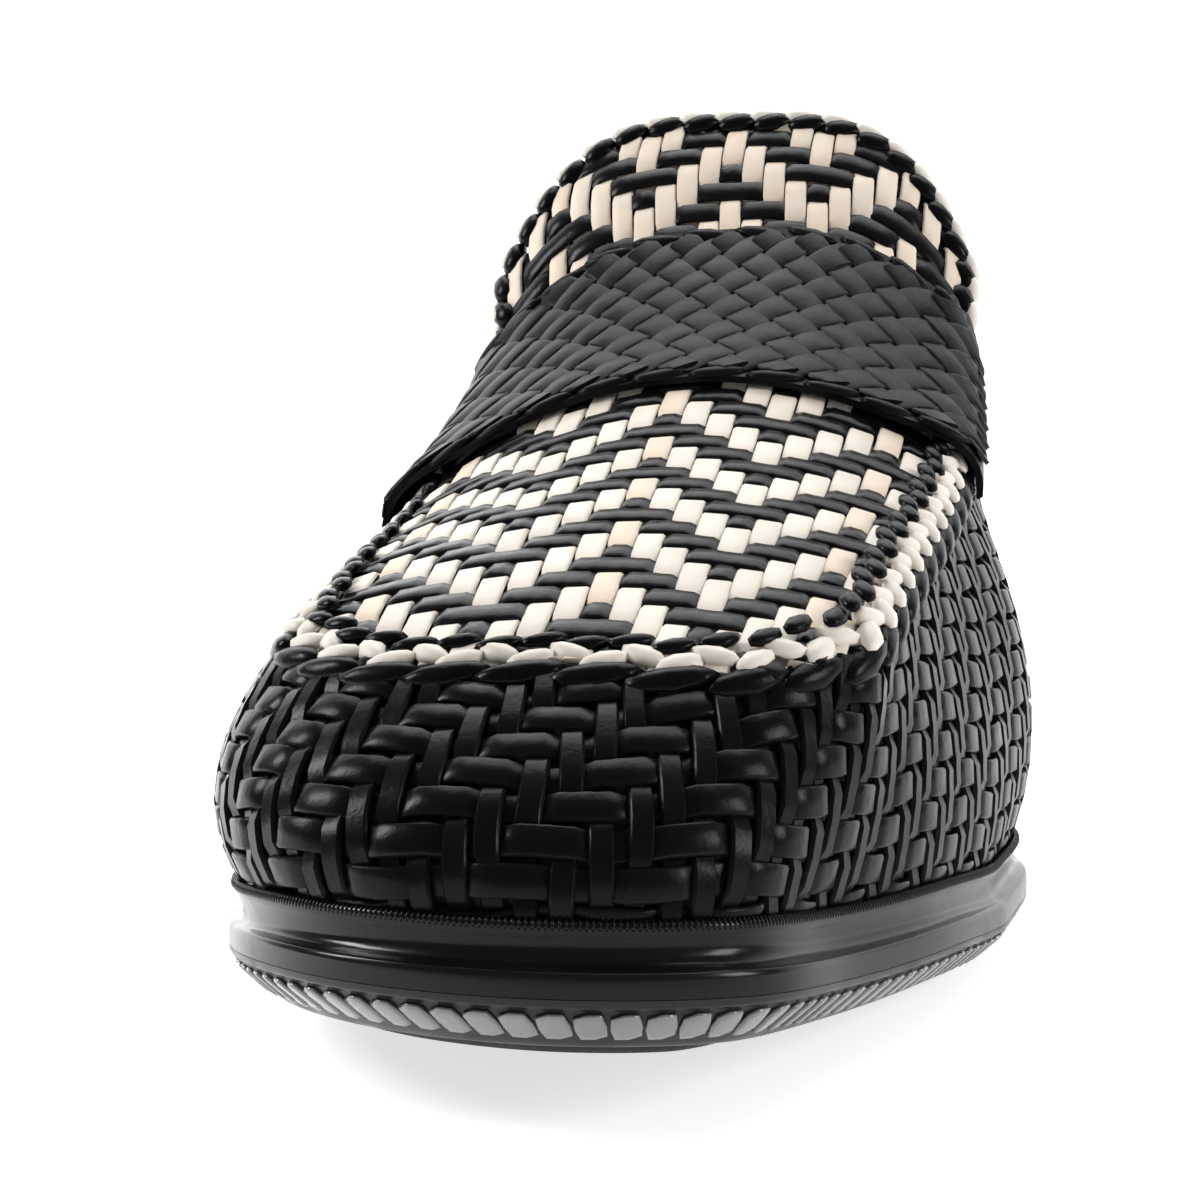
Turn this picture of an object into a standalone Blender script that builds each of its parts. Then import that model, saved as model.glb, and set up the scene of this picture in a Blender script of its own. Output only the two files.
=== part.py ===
"""Woven leather loafer for the right foot, built as the separate pieces a shoemaker joins.

Metres, +Z up, toe towards -Y, inner (medial) side of the foot towards +X.
The floor is z = 0 and the origin lies under the middle of the sole.
"""
import math
from collections import namedtuple

import bpy
import bmesh
import numpy as np

MM = 0.001

SHOE = "woven_loafer"

# Overall sizes
SOLE_LENGTH = 275 * MM
JOINT_GAP = 0.3 * MM
SHARP_ANGLE = math.radians(40)

# Fineness of the curves that lengths and directions are read from
OUTLINE_STEP = 0.004
FINE = 1200
SECTION_FINE = 48

# Sole stack, measured up from the underside of the outsole
OUTSOLE_THICKNESS = 5.0 * MM
OUTSOLE_TOP_INSET = 1.0 * MM
OUTSOLE_EDGE_HEIGHT = 2.6 * MM
BEVEL_WIDTH = 5.2 * MM
RIB_PITCH = 4.0 * MM
RIB_DEPTH = 0.6 * MM
RIB_START_SHARE = 0.40
PLAIN_EDGE_PITCH = 7.0 * MM
TREAD_THICKNESS = 1.3 * MM
STANCE = TREAD_THICKNESS + JOINT_GAP
TREAD_INSET = 10.5 * MM
TREAD_BEVEL = 1.2 * MM
TREAD_REAR_CORNER = 0.575
TREAD_REAR_POINT = 0.505
TREAD_POINT_HALF = 11 * MM
TREAD_TAPER_STEPS = 4
TREAD_PITCH = 6 * MM

# Welt and heel rand, a strip between outsole and upper
WELT_HEIGHT = 3.4 * MM
WELT_UNDER_WALL = 5.0 * MM
WELT_LIP_CLEAR = 1.5 * MM
WELT_LIP_WIDTH = 0.9 * MM
WELT_LIP_HEIGHT = 1.8 * MM
WELT_LEDGE = 0.8 * MM
WELT_EDGE_ROUND = 0.4 * MM
WELT_PITCH = 6.5 * MM
UPPER_BASE = OUTSOLE_THICKNESS + WELT_HEIGHT + 2 * JOINT_GAP
RAND_TOP_INSET = 1.0 * MM
RAND_NOSE_INSET = 0.3 * MM
RAND_FOOT_INSET = 0.6 * MM
WELT_END_SHARE = 0.275

# Heel
HEEL_INSET = 0.8 * MM
HEEL_TAPER = 1.6 * MM
HEEL_STEPS = 28
LIFT_HEIGHT = 6.0 * MM
BREAST_MEDIAL = 0.285
BREAST_LATERAL = 0.262
BREAST_HOLLOW = 8 * MM
BREAST_STEPS = 8
LIFT_JOINT_FROM_HEEL = 34 * MM
LIFT_STEP = 7 * MM
LIFT_STEP_AT = 10 * MM
CUT_REACH = 500 * MM
CUT_MARGIN = 10 * MM

# Upper
WALL_THICKNESS = 1.7 * MM
WEAVE_RELIEF = 1.1 * MM
ROW_PITCH = 5.0 * MM
SHORT_ROW = 0.4
BASE_MARGIN = 3.0 * MM
RIM_BEAD = 1.4 * MM
EDGE_BEAD = 0.7 * MM
APRON_COLUMNS = 16
APRON_ROWS = 24
TONGUE_ROWS = 6
COLLAR_COLUMNS = 60
WALL_INNER_ROWS = 4
TWILL = 4
ZIGZAG = 8
APRON_FRONT = 252 * MM
APRON_CORNER = 15 * MM
APRON_CORNER_POWER = 4
JOIN_FROM_HEEL = 121 * MM
TONGUE_TIP = 103 * MM
TONGUE_ROUND = 9 * MM

# Insole
INSOLE_THICKNESS = 2.6 * MM
INSOLE_CLEAR = 0.5 * MM
INSOLE_PITCH = 9 * MM

# Saddle strap
STRAP_FRONT = 162 * MM
STRAP_WIDTH = 38 * MM
STRAP_THICKNESS = 1.4 * MM
STRAP_RELIEF = 0.9 * MM
STRAP_DROP_LATERAL = 7.0 * MM
STRAP_DROP_MEDIAL = 4.0 * MM
STRAP_END_NARROWING = 0.5 * MM
STRAP_CLEAR = 0.45 * MM
STRAP_RIM_LIFT = 1.5 * MM
STRAP_RIM_SPREAD = 8 * MM
STRAP_ROWS = 10
STRAP_COLUMNS = 32

Sole = namedtuple("Sole", "share centre half_width margin bottom")
# Stations from heel (0) to toe (1): the middle of the sole's outline towards the medial side,
# half its width, the welt's margin outside the upper and the height of the outsole's underside, mm.
SOLE_TABLE = [Sole(*row) for row in (
    (0.000, -1.0, 0.0, 3.2, 22.0),
    (0.040, -1.0, 22.4, 3.2, 21.6),
    (0.100, -0.3, 30.0, 3.2, 21.0),
    (0.200, 0.0, 31.6, 3.4, 20.0),
    (0.295, -1.1, 29.9, 4.0, 18.6),
    (0.395, -4.2, 29.2, 4.2, 13.0),
    (0.490, -6.5, 35.3, 4.4, 5.6),
    (0.590, -0.1, 45.9, 4.2, 1.7),
    (0.690, 0.7, 46.3, 3.9, 1.4),
    (0.790, 2.7, 40.3, 3.8, 3.4),
    (0.890, 2.9, 32.3, 4.4, 5.1),
    (0.960, 6.2, 23.3, 5.2, 7.3),
    (1.000, 8.0, 0.0, 5.6, 8.2),
)]

Instep = namedtuple("Instep", "from_heel height half_width centre drop tilt power")
# Stations along apron and tongue, mm: height of the crown, half width between the rims,
# middle towards the medial side, how far the rim lies under the crown, how much higher it
# lies on the medial side, and the power of the curve across: 2 is a plain arch, more is boxier.
INSTEP_TABLE = [Instep(*row) for row in (
    (100, 110.5, 34.0, -0.8, 14.5, 0.0, 3.4),
    (112, 101.0, 34.0, -0.5, 16.0, 0.5, 3.4),
    (124, 89.5, 32.8, 1.3, 16.0, 1.5, 3.0),
    (142, 77.5, 34.2, 1.8, 15.0, 2.2, 2.4),
    (162, 67.5, 35.8, 1.6, 12.8, 2.8, 2.1),
    (185, 59.5, 35.0, 2.4, 9.4, 2.4, 2.0),
    (210, 53.0, 33.0, 3.6, 6.5, 1.5, 2.0),
    (235, 46.0, 30.8, 5.0, 4.2, 0.7, 2.0),
    (254, 39.5, 29.4, 6.0, 2.8, 0.4, 2.0),
)]

Collar = namedtuple("Collar", "share half_width height bulge")
# Stations of the opening's edge from the back of the heel (0) to the strap (1):
# half width and height of the edge and the wall's outward bulge under it, mm.
COLLAR_TABLE = [Collar(*row) for row in (
    (0.00, 0.0, 82.0, 1.2),
    (0.03, 11.5, 81.0, 1.3),
    (0.08, 18.0, 78.5, 1.6),
    (0.18, 23.0, 73.5, 2.0),
    (0.34, 26.5, 67.0, 2.4),
    (0.54, 29.5, 62.5, 2.9),
    (0.76, 32.2, 64.0, 3.8),
    (1.00, 33.4, 73.0, 5.2),
)]
COLLAR_BACK = 5.0 * MM

Bulge = namedtuple("Bulge", "from_heel medial lateral")
# Stations of the wall in front of the opening: its outward bulge on the two sides, mm.
BULGE_TABLE = [Bulge(*row) for row in (
    (121, 5.4, 5.0),
    (140, 14.5, 8.0),
    (165, 10.0, 9.4),
    (200, 4.4, 11.2),
    (254, 4.4, 11.2),
)]
# Shares of a wall section's height and lean that set its two inner control points.
SECTION_LOW_RISE = 0.42
SECTION_SHOULDER = 0.28
SECTION_TOP_DROP = 0.22

LEATHER_BLACK = (0.012, 0.012, 0.014, 1.0)
LEATHER_TAN = (0.30, 0.19, 0.10, 1.0)
RUBBER_BLACK = (0.010, 0.010, 0.011, 1.0)


def smooth(at, knots, values):
    """Value of a cubic curve through the knots, sloped by the neighbouring chords."""
    knots = np.asarray(knots, float)
    values = np.asarray(values, float)
    slopes = np.gradient(values, knots)
    at = np.clip(at, knots[0], knots[-1])
    k = np.clip(np.searchsorted(knots, at, side="right") - 1, 0, len(knots) - 2)
    span = knots[k + 1] - knots[k]
    f = (at - knots[k]) / span
    rise = f * f * (3 - 2 * f)
    bend = span * f * (1 - f) * ((1 - f) * slopes[k] - f * slopes[k + 1])
    return values[k] * (1 - rise) + values[k + 1] * rise + bend


def column(table, name):
    """One named column of a table as an array."""
    return np.array([getattr(row, name) for row in table], float)


SOLE_ANGLES = np.arccos(1 - 2 * column(SOLE_TABLE, "share"))


def fold(angle):
    """Angle round the outline (heel 0, toe pi, on to 2 pi) folded to heel-to-toe."""
    angle = np.mod(angle, 2 * math.pi)
    return np.where(angle > math.pi, 2 * math.pi - angle, angle)


def outline(angle):
    """Plan point on the sole's outer edge at an angle round the shoe."""
    along = fold(angle)
    side = np.where(np.mod(angle, 2 * math.pi) > math.pi, -1.0, 1.0)
    half = smooth(along, SOLE_ANGLES, column(SOLE_TABLE, "half_width")) * MM
    middle = smooth(along, SOLE_ANGLES, column(SOLE_TABLE, "centre")) * MM
    share = (1 - np.cos(along)) / 2
    return np.stack([middle + side * half, (0.5 - share) * SOLE_LENGTH], axis=-1)


def outward(angle):
    """Level unit vector pointing out of the outline."""
    run = outline(angle + OUTLINE_STEP) - outline(angle - OUTLINE_STEP)
    normal = np.stack([-run[..., 1], run[..., 0]], axis=-1)
    return normal / np.linalg.norm(normal, axis=-1, keepdims=True)


WIDEST = outline(np.linspace(0, 2 * math.pi, FINE + 1))[:, 0]
SIDE_SHIFT = (WIDEST.max() + WIDEST.min()) / 2


def underside(y):
    """Height of the outsole's underside at a place along the shoe, level where the tread stands."""
    share = 0.5 - y / SOLE_LENGTH
    return np.maximum(smooth(share, column(SOLE_TABLE, "share"), column(SOLE_TABLE, "bottom")) * MM, STANCE)


def margin(angle):
    """Width of the welt outside the foot of the upper."""
    return smooth(fold(angle), SOLE_ANGLES, column(SOLE_TABLE, "margin")) * MM


def sole_points(angles, inset, height):
    """Points inset from the outline and raised over the outsole's underside."""
    plan = outline(angles) - outward(angles) * np.reshape(inset, (-1, 1))
    level = underside(plan[:, 1]) + height
    return np.column_stack([plan[:, 0] - SIDE_SHIFT, plan[:, 1], level])


def even_angles(pitch, start=0.0, end=math.pi):
    """Angles of one side, spaced by the mean run of both edges."""
    fine = np.linspace(start, end, FINE)
    run = np.linalg.norm(np.diff(outline(fine), axis=0), axis=1)
    run += np.linalg.norm(np.diff(outline(-fine), axis=0), axis=1)
    length = np.concatenate([[0], np.cumsum(run / 2)])
    count = max(2, int(round(length[-1] / pitch / 2)) * 2)
    return np.interp(np.linspace(0, length[-1], count + 1), length, fine)


def share_angle(share):
    """Angle on the medial side of a station along the shoe."""
    return math.acos(1 - 2 * share)


def both_sides(side):
    """Full round of angles from heel over the medial side, toe and lateral side."""
    return np.concatenate([side, 2 * math.pi - side[-2:0:-1]])


def instep(from_heel, name):
    """One column of the instep table at distances from the heel."""
    return smooth(from_heel / MM, column(INSTEP_TABLE, "from_heel"), column(INSTEP_TABLE, name)) * MM


def apron_point(across, from_heel):
    """Point of the woven apron or tongue; across runs from -1 lateral to 1 medial."""
    x = instep(from_heel, "centre") + across * instep(from_heel, "half_width")
    power = instep(from_heel, "power") / MM
    z = instep(from_heel, "height") - instep(from_heel, "drop") * np.abs(across) ** power
    z = z + instep(from_heel, "tilt") * across
    return np.stack(np.broadcast_arrays(x - SIDE_SHIFT, SOLE_LENGTH / 2 - from_heel, z), axis=-1)


def apron_grid():
    """Rows of points from the toe rim to the tongue's tip, all across the apron."""
    across = np.linspace(1, -1, APRON_COLUMNS + 1)
    front = APRON_FRONT - APRON_CORNER * np.abs(across) ** APRON_CORNER_POWER
    tip = TONGUE_TIP + TONGUE_ROUND * np.abs(across) ** APRON_CORNER_POWER
    rows = []
    for k in range(APRON_ROWS + 1):
        rows.append(apron_point(across, front + (JOIN_FROM_HEEL - front) * k / APRON_ROWS))
    for k in range(1, TONGUE_ROWS + 1):
        rows.append(apron_point(across, JOIN_FROM_HEEL + (tip - JOIN_FROM_HEEL) * k / TONGUE_ROWS))
    return np.array(rows)


def run_length(points):
    """Distance along a line of points, from its first."""
    return np.concatenate([[0], np.cumsum(np.linalg.norm(np.diff(points, axis=0), axis=1))])


def collar_line():
    """Edge of the opening from the lateral end of the strap round the heel to the medial end."""
    share = np.linspace(0, 1, FINE) ** 2
    angle = np.sqrt(share)
    knots = np.sqrt(column(COLLAR_TABLE, "share"))
    half = smooth(angle, knots, column(COLLAR_TABLE, "half_width")) * MM
    height = smooth(angle, knots, column(COLLAR_TABLE, "height")) * MM
    from_heel = COLLAR_BACK + share * (JOIN_FROM_HEEL - COLLAR_BACK)
    middle = smooth(from_heel / SOLE_LENGTH, column(SOLE_TABLE, "share"), column(SOLE_TABLE, "centre")) * MM
    last = apron_point(np.array([1.0, -1.0]), np.array([JOIN_FROM_HEEL, JOIN_FROM_HEEL]))
    ends = []
    for side, end in ((1, last[0]), (-1, last[1])):
        line = np.column_stack([middle + side * half - SIDE_SHIFT, SOLE_LENGTH / 2 - from_heel, height])
        line += np.outer(share ** 2, end - line[-1])
        ends.append(line)
    return np.concatenate([ends[1][::-1], ends[0][1:]])


def resample(points, count):
    """Points spread evenly along a line."""
    length = run_length(points)
    at = np.linspace(0, length[-1], count + 1)
    return np.column_stack([np.interp(at, length, points[:, k]) for k in range(3)])


def wall_controls(grid):
    """Control points of each upright section of the wall, from the medial strap end round."""
    medial = grid[APRON_ROWS::-1, 0]
    front = grid[0, 1:]
    lateral = grid[1:APRON_ROWS + 1, -1]
    rim = np.concatenate([medial, front, lateral])
    collar = resample(collar_line(), COLLAR_COLUMNS)
    join = share_angle(JOIN_FROM_HEEL / SOLE_LENGTH)
    fore = np.linspace(join, 2 * math.pi - join, FINE)
    rear = np.linspace(-join, join, FINE)
    angles = []
    for top, fine in ((rim, fore), (collar, rear)):
        foot = sole_points(fine, margin(fine), UPPER_BASE)
        at = run_length(top) / run_length(top)[-1] * run_length(foot)[-1]
        angles.append(np.interp(at, run_length(foot), fine))
    angles = np.concatenate([angles[0], angles[1][1:-1]])
    top = np.concatenate([rim, collar[1:-1]])
    foot = sole_points(angles, margin(angles), UPPER_BASE)
    from_heel = SOLE_LENGTH / 2 - foot[:, 1]
    reach = np.sqrt(np.clip(from_heel / JOIN_FROM_HEEL, 0, 1))
    rear = smooth(reach, np.sqrt(column(COLLAR_TABLE, "share")), column(COLLAR_TABLE, "bulge"))
    out = np.column_stack([outward(angles), np.zeros(len(angles))])
    stations = column(BULGE_TABLE, "from_heel")
    medial = smooth(from_heel / MM, stations, column(BULGE_TABLE, "medial"))
    lateral = smooth(from_heel / MM, stations, column(BULGE_TABLE, "lateral"))
    front = lateral + (medial - lateral) * (1 + out[:, 0]) / 2
    bulge = np.where(from_heel > JOIN_FROM_HEEL, front, rear)[:, None] * MM
    lean = (foot - top) * (1, 1, 0)
    rise = (top - foot) * (0, 0, 1)
    low = foot + rise * SECTION_LOW_RISE + out * bulge
    high = top + lean * SECTION_SHOULDER + out * bulge * SECTION_SHOULDER - rise * SECTION_TOP_DROP
    return np.stack([foot, low, high, top], axis=1)


def bezier(controls, f):
    """Points of a cubic section at shares f of its parameter."""
    f = np.asarray(f)[:, None]
    g = 1 - f
    return (g ** 3 * controls[0] + 3 * g * g * f * controls[1]
            + 3 * g * f * f * controls[2] + f ** 3 * controls[3])


def along_section(controls, lengths):
    """Points of a section at given lengths up from its foot."""
    fine = bezier(controls, np.linspace(0, 1, SECTION_FINE + 1))
    at = run_length(fine)
    return np.column_stack([np.interp(lengths, at, fine[:, k]) for k in range(3)]), at[-1]


def new_material(name, colour, roughness):
    """Principled material of one piece."""
    material = bpy.data.materials.new(name)
    material.use_nodes = True
    shader = material.node_tree.nodes["Principled BSDF"]
    shader.inputs["Base Color"].default_value = colour
    shader.inputs["Roughness"].default_value = roughness
    material.diffuse_color = colour
    return material


def finish(bm, name, collection, colour, roughness):
    """Turn a closed mesh into a named object of the shoe."""
    bmesh.ops.recalc_face_normals(bm, faces=bm.faces)
    bmesh.ops.triangulate(bm, faces=[f for f in bm.faces if len(f.verts) > 4])
    mesh = bpy.data.meshes.new(name)
    bm.to_mesh(mesh)
    bm.free()
    mesh.shade_smooth()
    mesh.set_sharp_from_angle(angle=SHARP_ANGLE)
    mesh.materials.append(new_material(name, colour, roughness))
    obj = bpy.data.objects.new(name, mesh)
    collection.objects.link(obj)
    return obj


def add_points(bm, points):
    """New vertices of a line of points."""
    return [bm.verts.new(p) for p in points]


def face(bm, verts):
    """Face through the given vertices, leaving out repeats."""
    kept = [v for k, v in enumerate(verts) if v not in verts[:k]]
    if len(kept) > 2:
        bm.faces.new(kept)


def loft(bm, rings, closed=True):
    """Quads between successive lines of vertices."""
    for low, high in zip(rings, rings[1:]):
        last = len(low) if closed else len(low) - 1
        for k in range(last):
            n = (k + 1) % len(low)
            face(bm, [low[k], low[n], high[n], high[k]])


def cap(bm, ring):
    """Strips across a round of vertices whose two sides pair off from heel to toe."""
    for k in range(len(ring) // 2):
        face(bm, [ring[k], ring[k + 1], ring[-k - 1], ring[-k]])


def ring_solid(angles, rows):
    """Solid over a full round of angles; rows are (inset, height) pairs, bottom to top."""
    bm = bmesh.new()
    rings = [add_points(bm, sole_points(angles, inset, height)) for inset, height in rows]
    loft(bm, rings)
    cap(bm, rings[0])
    cap(bm, rings[-1])
    return bm


def strip_solid(angles, section):
    """Solid of one closed section carried along a part of the outline."""
    bm = bmesh.new()
    lines = [add_points(bm, sole_points(angles, inset, height)) for inset, height in section]
    loft(bm, lines + lines[:1], closed=False)
    for end in (0, -1):
        face(bm, [line[end] for line in lines])
    return bm


def outsole(collection):
    """Outsole with a ribbed bevel round the forefoot and a plain edge at waist and heel."""
    start = share_angle(RIB_START_SHARE)
    ribs = even_angles(RIB_PITCH / 2, start, math.pi)
    side = np.concatenate([even_angles(PLAIN_EDGE_PITCH, 0, start)[:-1], ribs])
    angles = both_sides(side)
    tooth = np.zeros(len(side))
    tooth[len(side) - len(ribs) + 1:-1:2] = RIB_DEPTH
    tooth = np.concatenate([tooth, tooth[-2:0:-1]])
    bm = ring_solid(angles, (
        (BEVEL_WIDTH, 0.0),
        (tooth, OUTSOLE_EDGE_HEIGHT),
        (OUTSOLE_TOP_INSET, OUTSOLE_THICKNESS),
    ))
    return finish(bm, "outsole", collection, RUBBER_BLACK, 0.45)


def tread(collection):
    """Rubber tread glued under the forefoot, with a blunt pointed rear end."""
    corner = share_angle(TREAD_REAR_CORNER)
    side = even_angles(TREAD_PITCH, corner, math.pi)
    angles = np.concatenate([side, 2 * math.pi - side[-2::-1]])
    bm = bmesh.new()
    rings = []
    point_y = (0.5 - TREAD_REAR_POINT) * SOLE_LENGTH
    taper = np.linspace(0, 1, TREAD_TAPER_STEPS + 1)[:-1, None]
    for inset, depth in ((TREAD_INSET + TREAD_BEVEL, TREAD_THICKNESS),
                         (TREAD_INSET, TREAD_THICKNESS / 2), (TREAD_INSET, 0)):
        rim = sole_points(angles, inset, -JOINT_GAP - depth)
        middle = (rim[0, 0] + rim[-1, 0]) / 2
        ends = []
        for corner, half in ((rim[0], TREAD_POINT_HALF), (rim[-1], -TREAD_POINT_HALF)):
            point = np.array([middle + half, point_y, 0])
            line = point * (1 - taper) + corner * taper
            line[:, 2] = underside(line[:, 1]) - JOINT_GAP - depth
            ends.append(line)
        rings.append(add_points(bm, np.concatenate([ends[0], rim, ends[1][::-1]])))
    loft(bm, rings)
    for ring in (rings[0], rings[-1]):
        for k in range(len(ring) // 2):
            face(bm, [ring[k], ring[k + 1], ring[-k - 2], ring[-k - 1]])
    return finish(bm, "forefoot_tread", collection, RUBBER_BLACK, 0.7)


def welt(collection):
    """Storm welt from the heel breast round the toe, with a lip against the upper."""
    end = share_angle(WELT_END_SHARE)
    side = even_angles(WELT_PITCH, end, math.pi)
    angles = np.concatenate([side, 2 * math.pi - side[-2::-1]])
    wide = margin(angles)
    base = OUTSOLE_THICKNESS + JOINT_GAP
    top = base + WELT_HEIGHT
    lip = wide - WELT_LIP_CLEAR
    ledge = np.maximum(lip - WELT_LIP_WIDTH - WELT_LEDGE, WELT_LEDGE)
    section = (
        (wide + WELT_UNDER_WALL, base),
        (wide + WELT_UNDER_WALL, top),
        (lip, top),
        (lip, top + WELT_LIP_HEIGHT),
        (lip - WELT_LIP_WIDTH, top + WELT_LIP_HEIGHT - WELT_EDGE_ROUND),
        (ledge, top - WELT_EDGE_ROUND),
        (WELT_EDGE_ROUND, top - 2 * WELT_EDGE_ROUND),
        (0.0, top - WELT_HEIGHT / 2),
        (WELT_EDGE_ROUND, base),
    )
    return finish(strip_solid(angles, section), "welt", collection, LEATHER_BLACK, 0.25)


def heel_rand(collection):
    """Rand that carries the upper round the heel seat, between the ends of the welt."""
    gap = JOINT_GAP / SOLE_LENGTH
    end = share_angle(WELT_END_SHARE - gap)
    side = even_angles(WELT_PITCH, 0, end)
    angles = np.concatenate([-side[:0:-1], side])
    wide = margin(angles)
    base = OUTSOLE_THICKNESS + JOINT_GAP
    section = (
        (wide + WELT_UNDER_WALL, base),
        (wide + WELT_UNDER_WALL, base + WELT_HEIGHT),
        (RAND_TOP_INSET, base + WELT_HEIGHT),
        (RAND_NOSE_INSET, base + WELT_HEIGHT / 2),
        (RAND_FOOT_INSET, base),
    )
    return finish(strip_solid(angles, section), "heel_rand", collection, LEATHER_BLACK, 0.3)


def heel_plan(inset):
    """Outline of the heel with its hollow breast, from the lateral breast corner round the back."""
    rear = np.linspace(-share_angle(BREAST_LATERAL), share_angle(BREAST_MEDIAL), HEEL_STEPS + 1)
    edge = outline(rear) - outward(rear) * inset
    f = np.linspace(0, 1, BREAST_STEPS + 1)[1:-1, None]
    breast = edge[-1] * (1 - f) + edge[0] * f
    breast[:, 1] += (BREAST_HOLLOW * 4 * f * (1 - f))[:, 0]
    return np.concatenate([edge, breast]) - (SIDE_SHIFT, 0)


def heel(collection):
    """Stacked heel block between the seat of the outsole and the top lift."""
    bm = bmesh.new()
    low = heel_plan(HEEL_INSET + HEEL_TAPER)
    high = heel_plan(HEEL_INSET)
    rings = [
        add_points(bm, np.column_stack([low, np.full(len(low), LIFT_HEIGHT + JOINT_GAP)])),
        add_points(bm, np.column_stack([high, underside(high[:, 1]) - JOINT_GAP])),
    ]
    loft(bm, rings)
    face(bm, rings[0])
    face(bm, rings[1])
    return finish(bm, "heel_block", collection, LEATHER_BLACK, 0.3)


def slab(plan, low, high):
    """Flat outline raised from one height to another."""
    bm = bmesh.new()
    face(bm, add_points(bm, [(x, y, low) for x, y in plan]))
    raised = bmesh.ops.extrude_face_region(bm, geom=list(bm.faces))
    tops = [v for v in raised["geom"] if isinstance(v, bmesh.types.BMVert)]
    bmesh.ops.translate(bm, vec=(0, 0, high - low), verts=tops)
    return bm


def top_lift(collection):
    """Top lift in two pieces that lock with a stepped joint: the rear one is the wearing tip."""
    plan = heel_plan(HEEL_INSET + HEEL_TAPER)
    joint = SOLE_LENGTH / 2 - LIFT_JOINT_FROM_HEEL
    for name, rear, roughness in (("lift_front", False, 0.4), ("lift_tip", True, 0.6)):
        shift = JOINT_GAP / 2 if rear else -JOINT_GAP / 2
        near = joint + shift
        far = CUT_REACH if rear else -CUT_REACH
        step = LIFT_STEP_AT - shift
        corners = [(-CUT_REACH, near), (step, near), (step, near + LIFT_STEP),
                   (CUT_REACH, near + LIFT_STEP), (CUT_REACH, far), (-CUT_REACH, far)]
        lift = finish(slab(plan, 0, LIFT_HEIGHT), name, collection, RUBBER_BLACK, roughness)
        cutter_bm = slab(corners, -CUT_MARGIN, LIFT_HEIGHT + CUT_MARGIN)
        cutter = finish(cutter_bm, name + "_cutter", CUTTERS, RUBBER_BLACK, roughness)
        cutter.hide_render = True
        cutter.display_type = "WIRE"
        keep = lift.modifiers.new("joint", "BOOLEAN")
        keep.operation = "INTERSECT"
        keep.solver = "EXACT"
        keep.object = cutter


def insole(collection):
    """Insole, stepped underneath to lie on the outsole inside the welt and on the welt itself."""
    angles = both_sides(even_angles(INSOLE_PITCH))
    wide = margin(angles)
    core = wide + WELT_UNDER_WALL + JOINT_GAP
    board = wide + WALL_THICKNESS + INSOLE_CLEAR
    level = UPPER_BASE
    bm = ring_solid(angles, (
        (core, OUTSOLE_THICKNESS + JOINT_GAP),
        (core, level),
        (board, level),
        (board, level + INSOLE_THICKNESS),
    ))
    return finish(bm, "insole", collection, LEATHER_TAN, 0.6)


def quad_centre(verts, height):
    """Middle of a cell raised along its normal."""
    a, b, c, d = [v.co for v in verts]
    normal = (c - a).cross(d - b).normalized()
    return (a + b + c + d) / 4 + normal * height


def raise_float(bm, near, far, height):
    """Strip lying on top over successive cells: near and far are its two edges."""
    cells = [(near[k], near[k + 1], far[k + 1], far[k]) for k in range(len(near) - 1)]
    first = bm.verts.new(quad_centre(cells[0], height))
    last = first
    if len(cells) > 1:
        last = bm.verts.new(quad_centre(cells[-1], height))
    face(bm, [near[0], first, far[0]])
    face(bm, [near[-1], far[-1], last])
    middle = len(near) // 2
    for line, turn in ((near, 1), (far, -1)):
        for k in range(len(line) - 1):
            ridge = first if k < middle else last
            face(bm, [line[k], line[k + 1], ridge][::turn])
        if first is not last:
            face(bm, [line[middle], last, first][::turn])


def weave(bm, grid, over, wrap, height):
    """Cover a grid of vertices with strips; over tells where the upright strip is on top."""
    columns = len(grid) if wrap else len(grid) - 1
    rows = len(grid[0]) - 1

    def corners(c, r):
        n = (c + 1) % len(grid)
        return [grid[c][r], grid[n][r], grid[n][r + 1], grid[c][r + 1]]

    def whole(c, r):
        return r < rows and len(set(corners(c, r))) == 4

    done = set()
    for c in range(columns):
        for r in range(rows):
            if (c, r) in done:
                continue
            if not whole(c, r):
                face(bm, corners(c, r))
                done.add((c, r))
                continue
            cells = [(c, r)]
            while len(cells) < 3:
                n, up = cells[-1]
                step = (n, up + 1) if over(c, r) else ((n + 1) % columns if wrap else n + 1, up)
                free = step not in done and step[0] < columns and whole(*step)
                if not free or over(*step) != over(c, r):
                    break
                cells.append(step)
            done.update(cells)
            quads = [corners(*cell) for cell in cells]
            if over(c, r):
                near = [q[1] for q in quads] + [quads[-1][2]]
                far = [q[0] for q in quads] + [quads[-1][3]]
            else:
                near = [q[0] for q in quads] + [quads[-1][1]]
                far = [q[3] for q in quads] + [quads[-1][2]]
            raise_float(bm, near, far, height)


def wall_twill(c, r):
    """Two-over-two twill of the wall."""
    return (c + r) % TWILL < TWILL // 2


def apron_twill(c, r):
    """The same twill turned to and fro into zigzags from the middle of the apron."""
    turn = (c - APRON_COLUMNS // 2) % ZIGZAG
    return (min(turn, ZIGZAG - turn) + r) % TWILL < TWILL // 2


def wall_lengths(length, rows):
    """Lengths up a section of the wall where the strips cross it, held at its top."""
    at = np.concatenate([[0], BASE_MARGIN + ROW_PITCH * np.arange(rows)])
    return np.where(at > length - ROW_PITCH * SHORT_ROW, length, at)


def stitch(bm, fine, coarse):
    """Faces between a round of vertices and another with half as many."""
    for k in range(len(coarse)):
        a, b, c = fine[2 * k], fine[2 * k + 1], fine[(2 * k + 2) % len(fine)]
        n = coarse[(k + 1) % len(coarse)]
        face(bm, [a, b, coarse[k]])
        face(bm, [b, c, n])
        face(bm, [b, n, coarse[k]])


def bead(verts, height):
    """Raise vertices along their normals."""
    moves = [v.normal * height for v in verts]
    for v, move in zip(verts, moves):
        v.co += move


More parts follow.
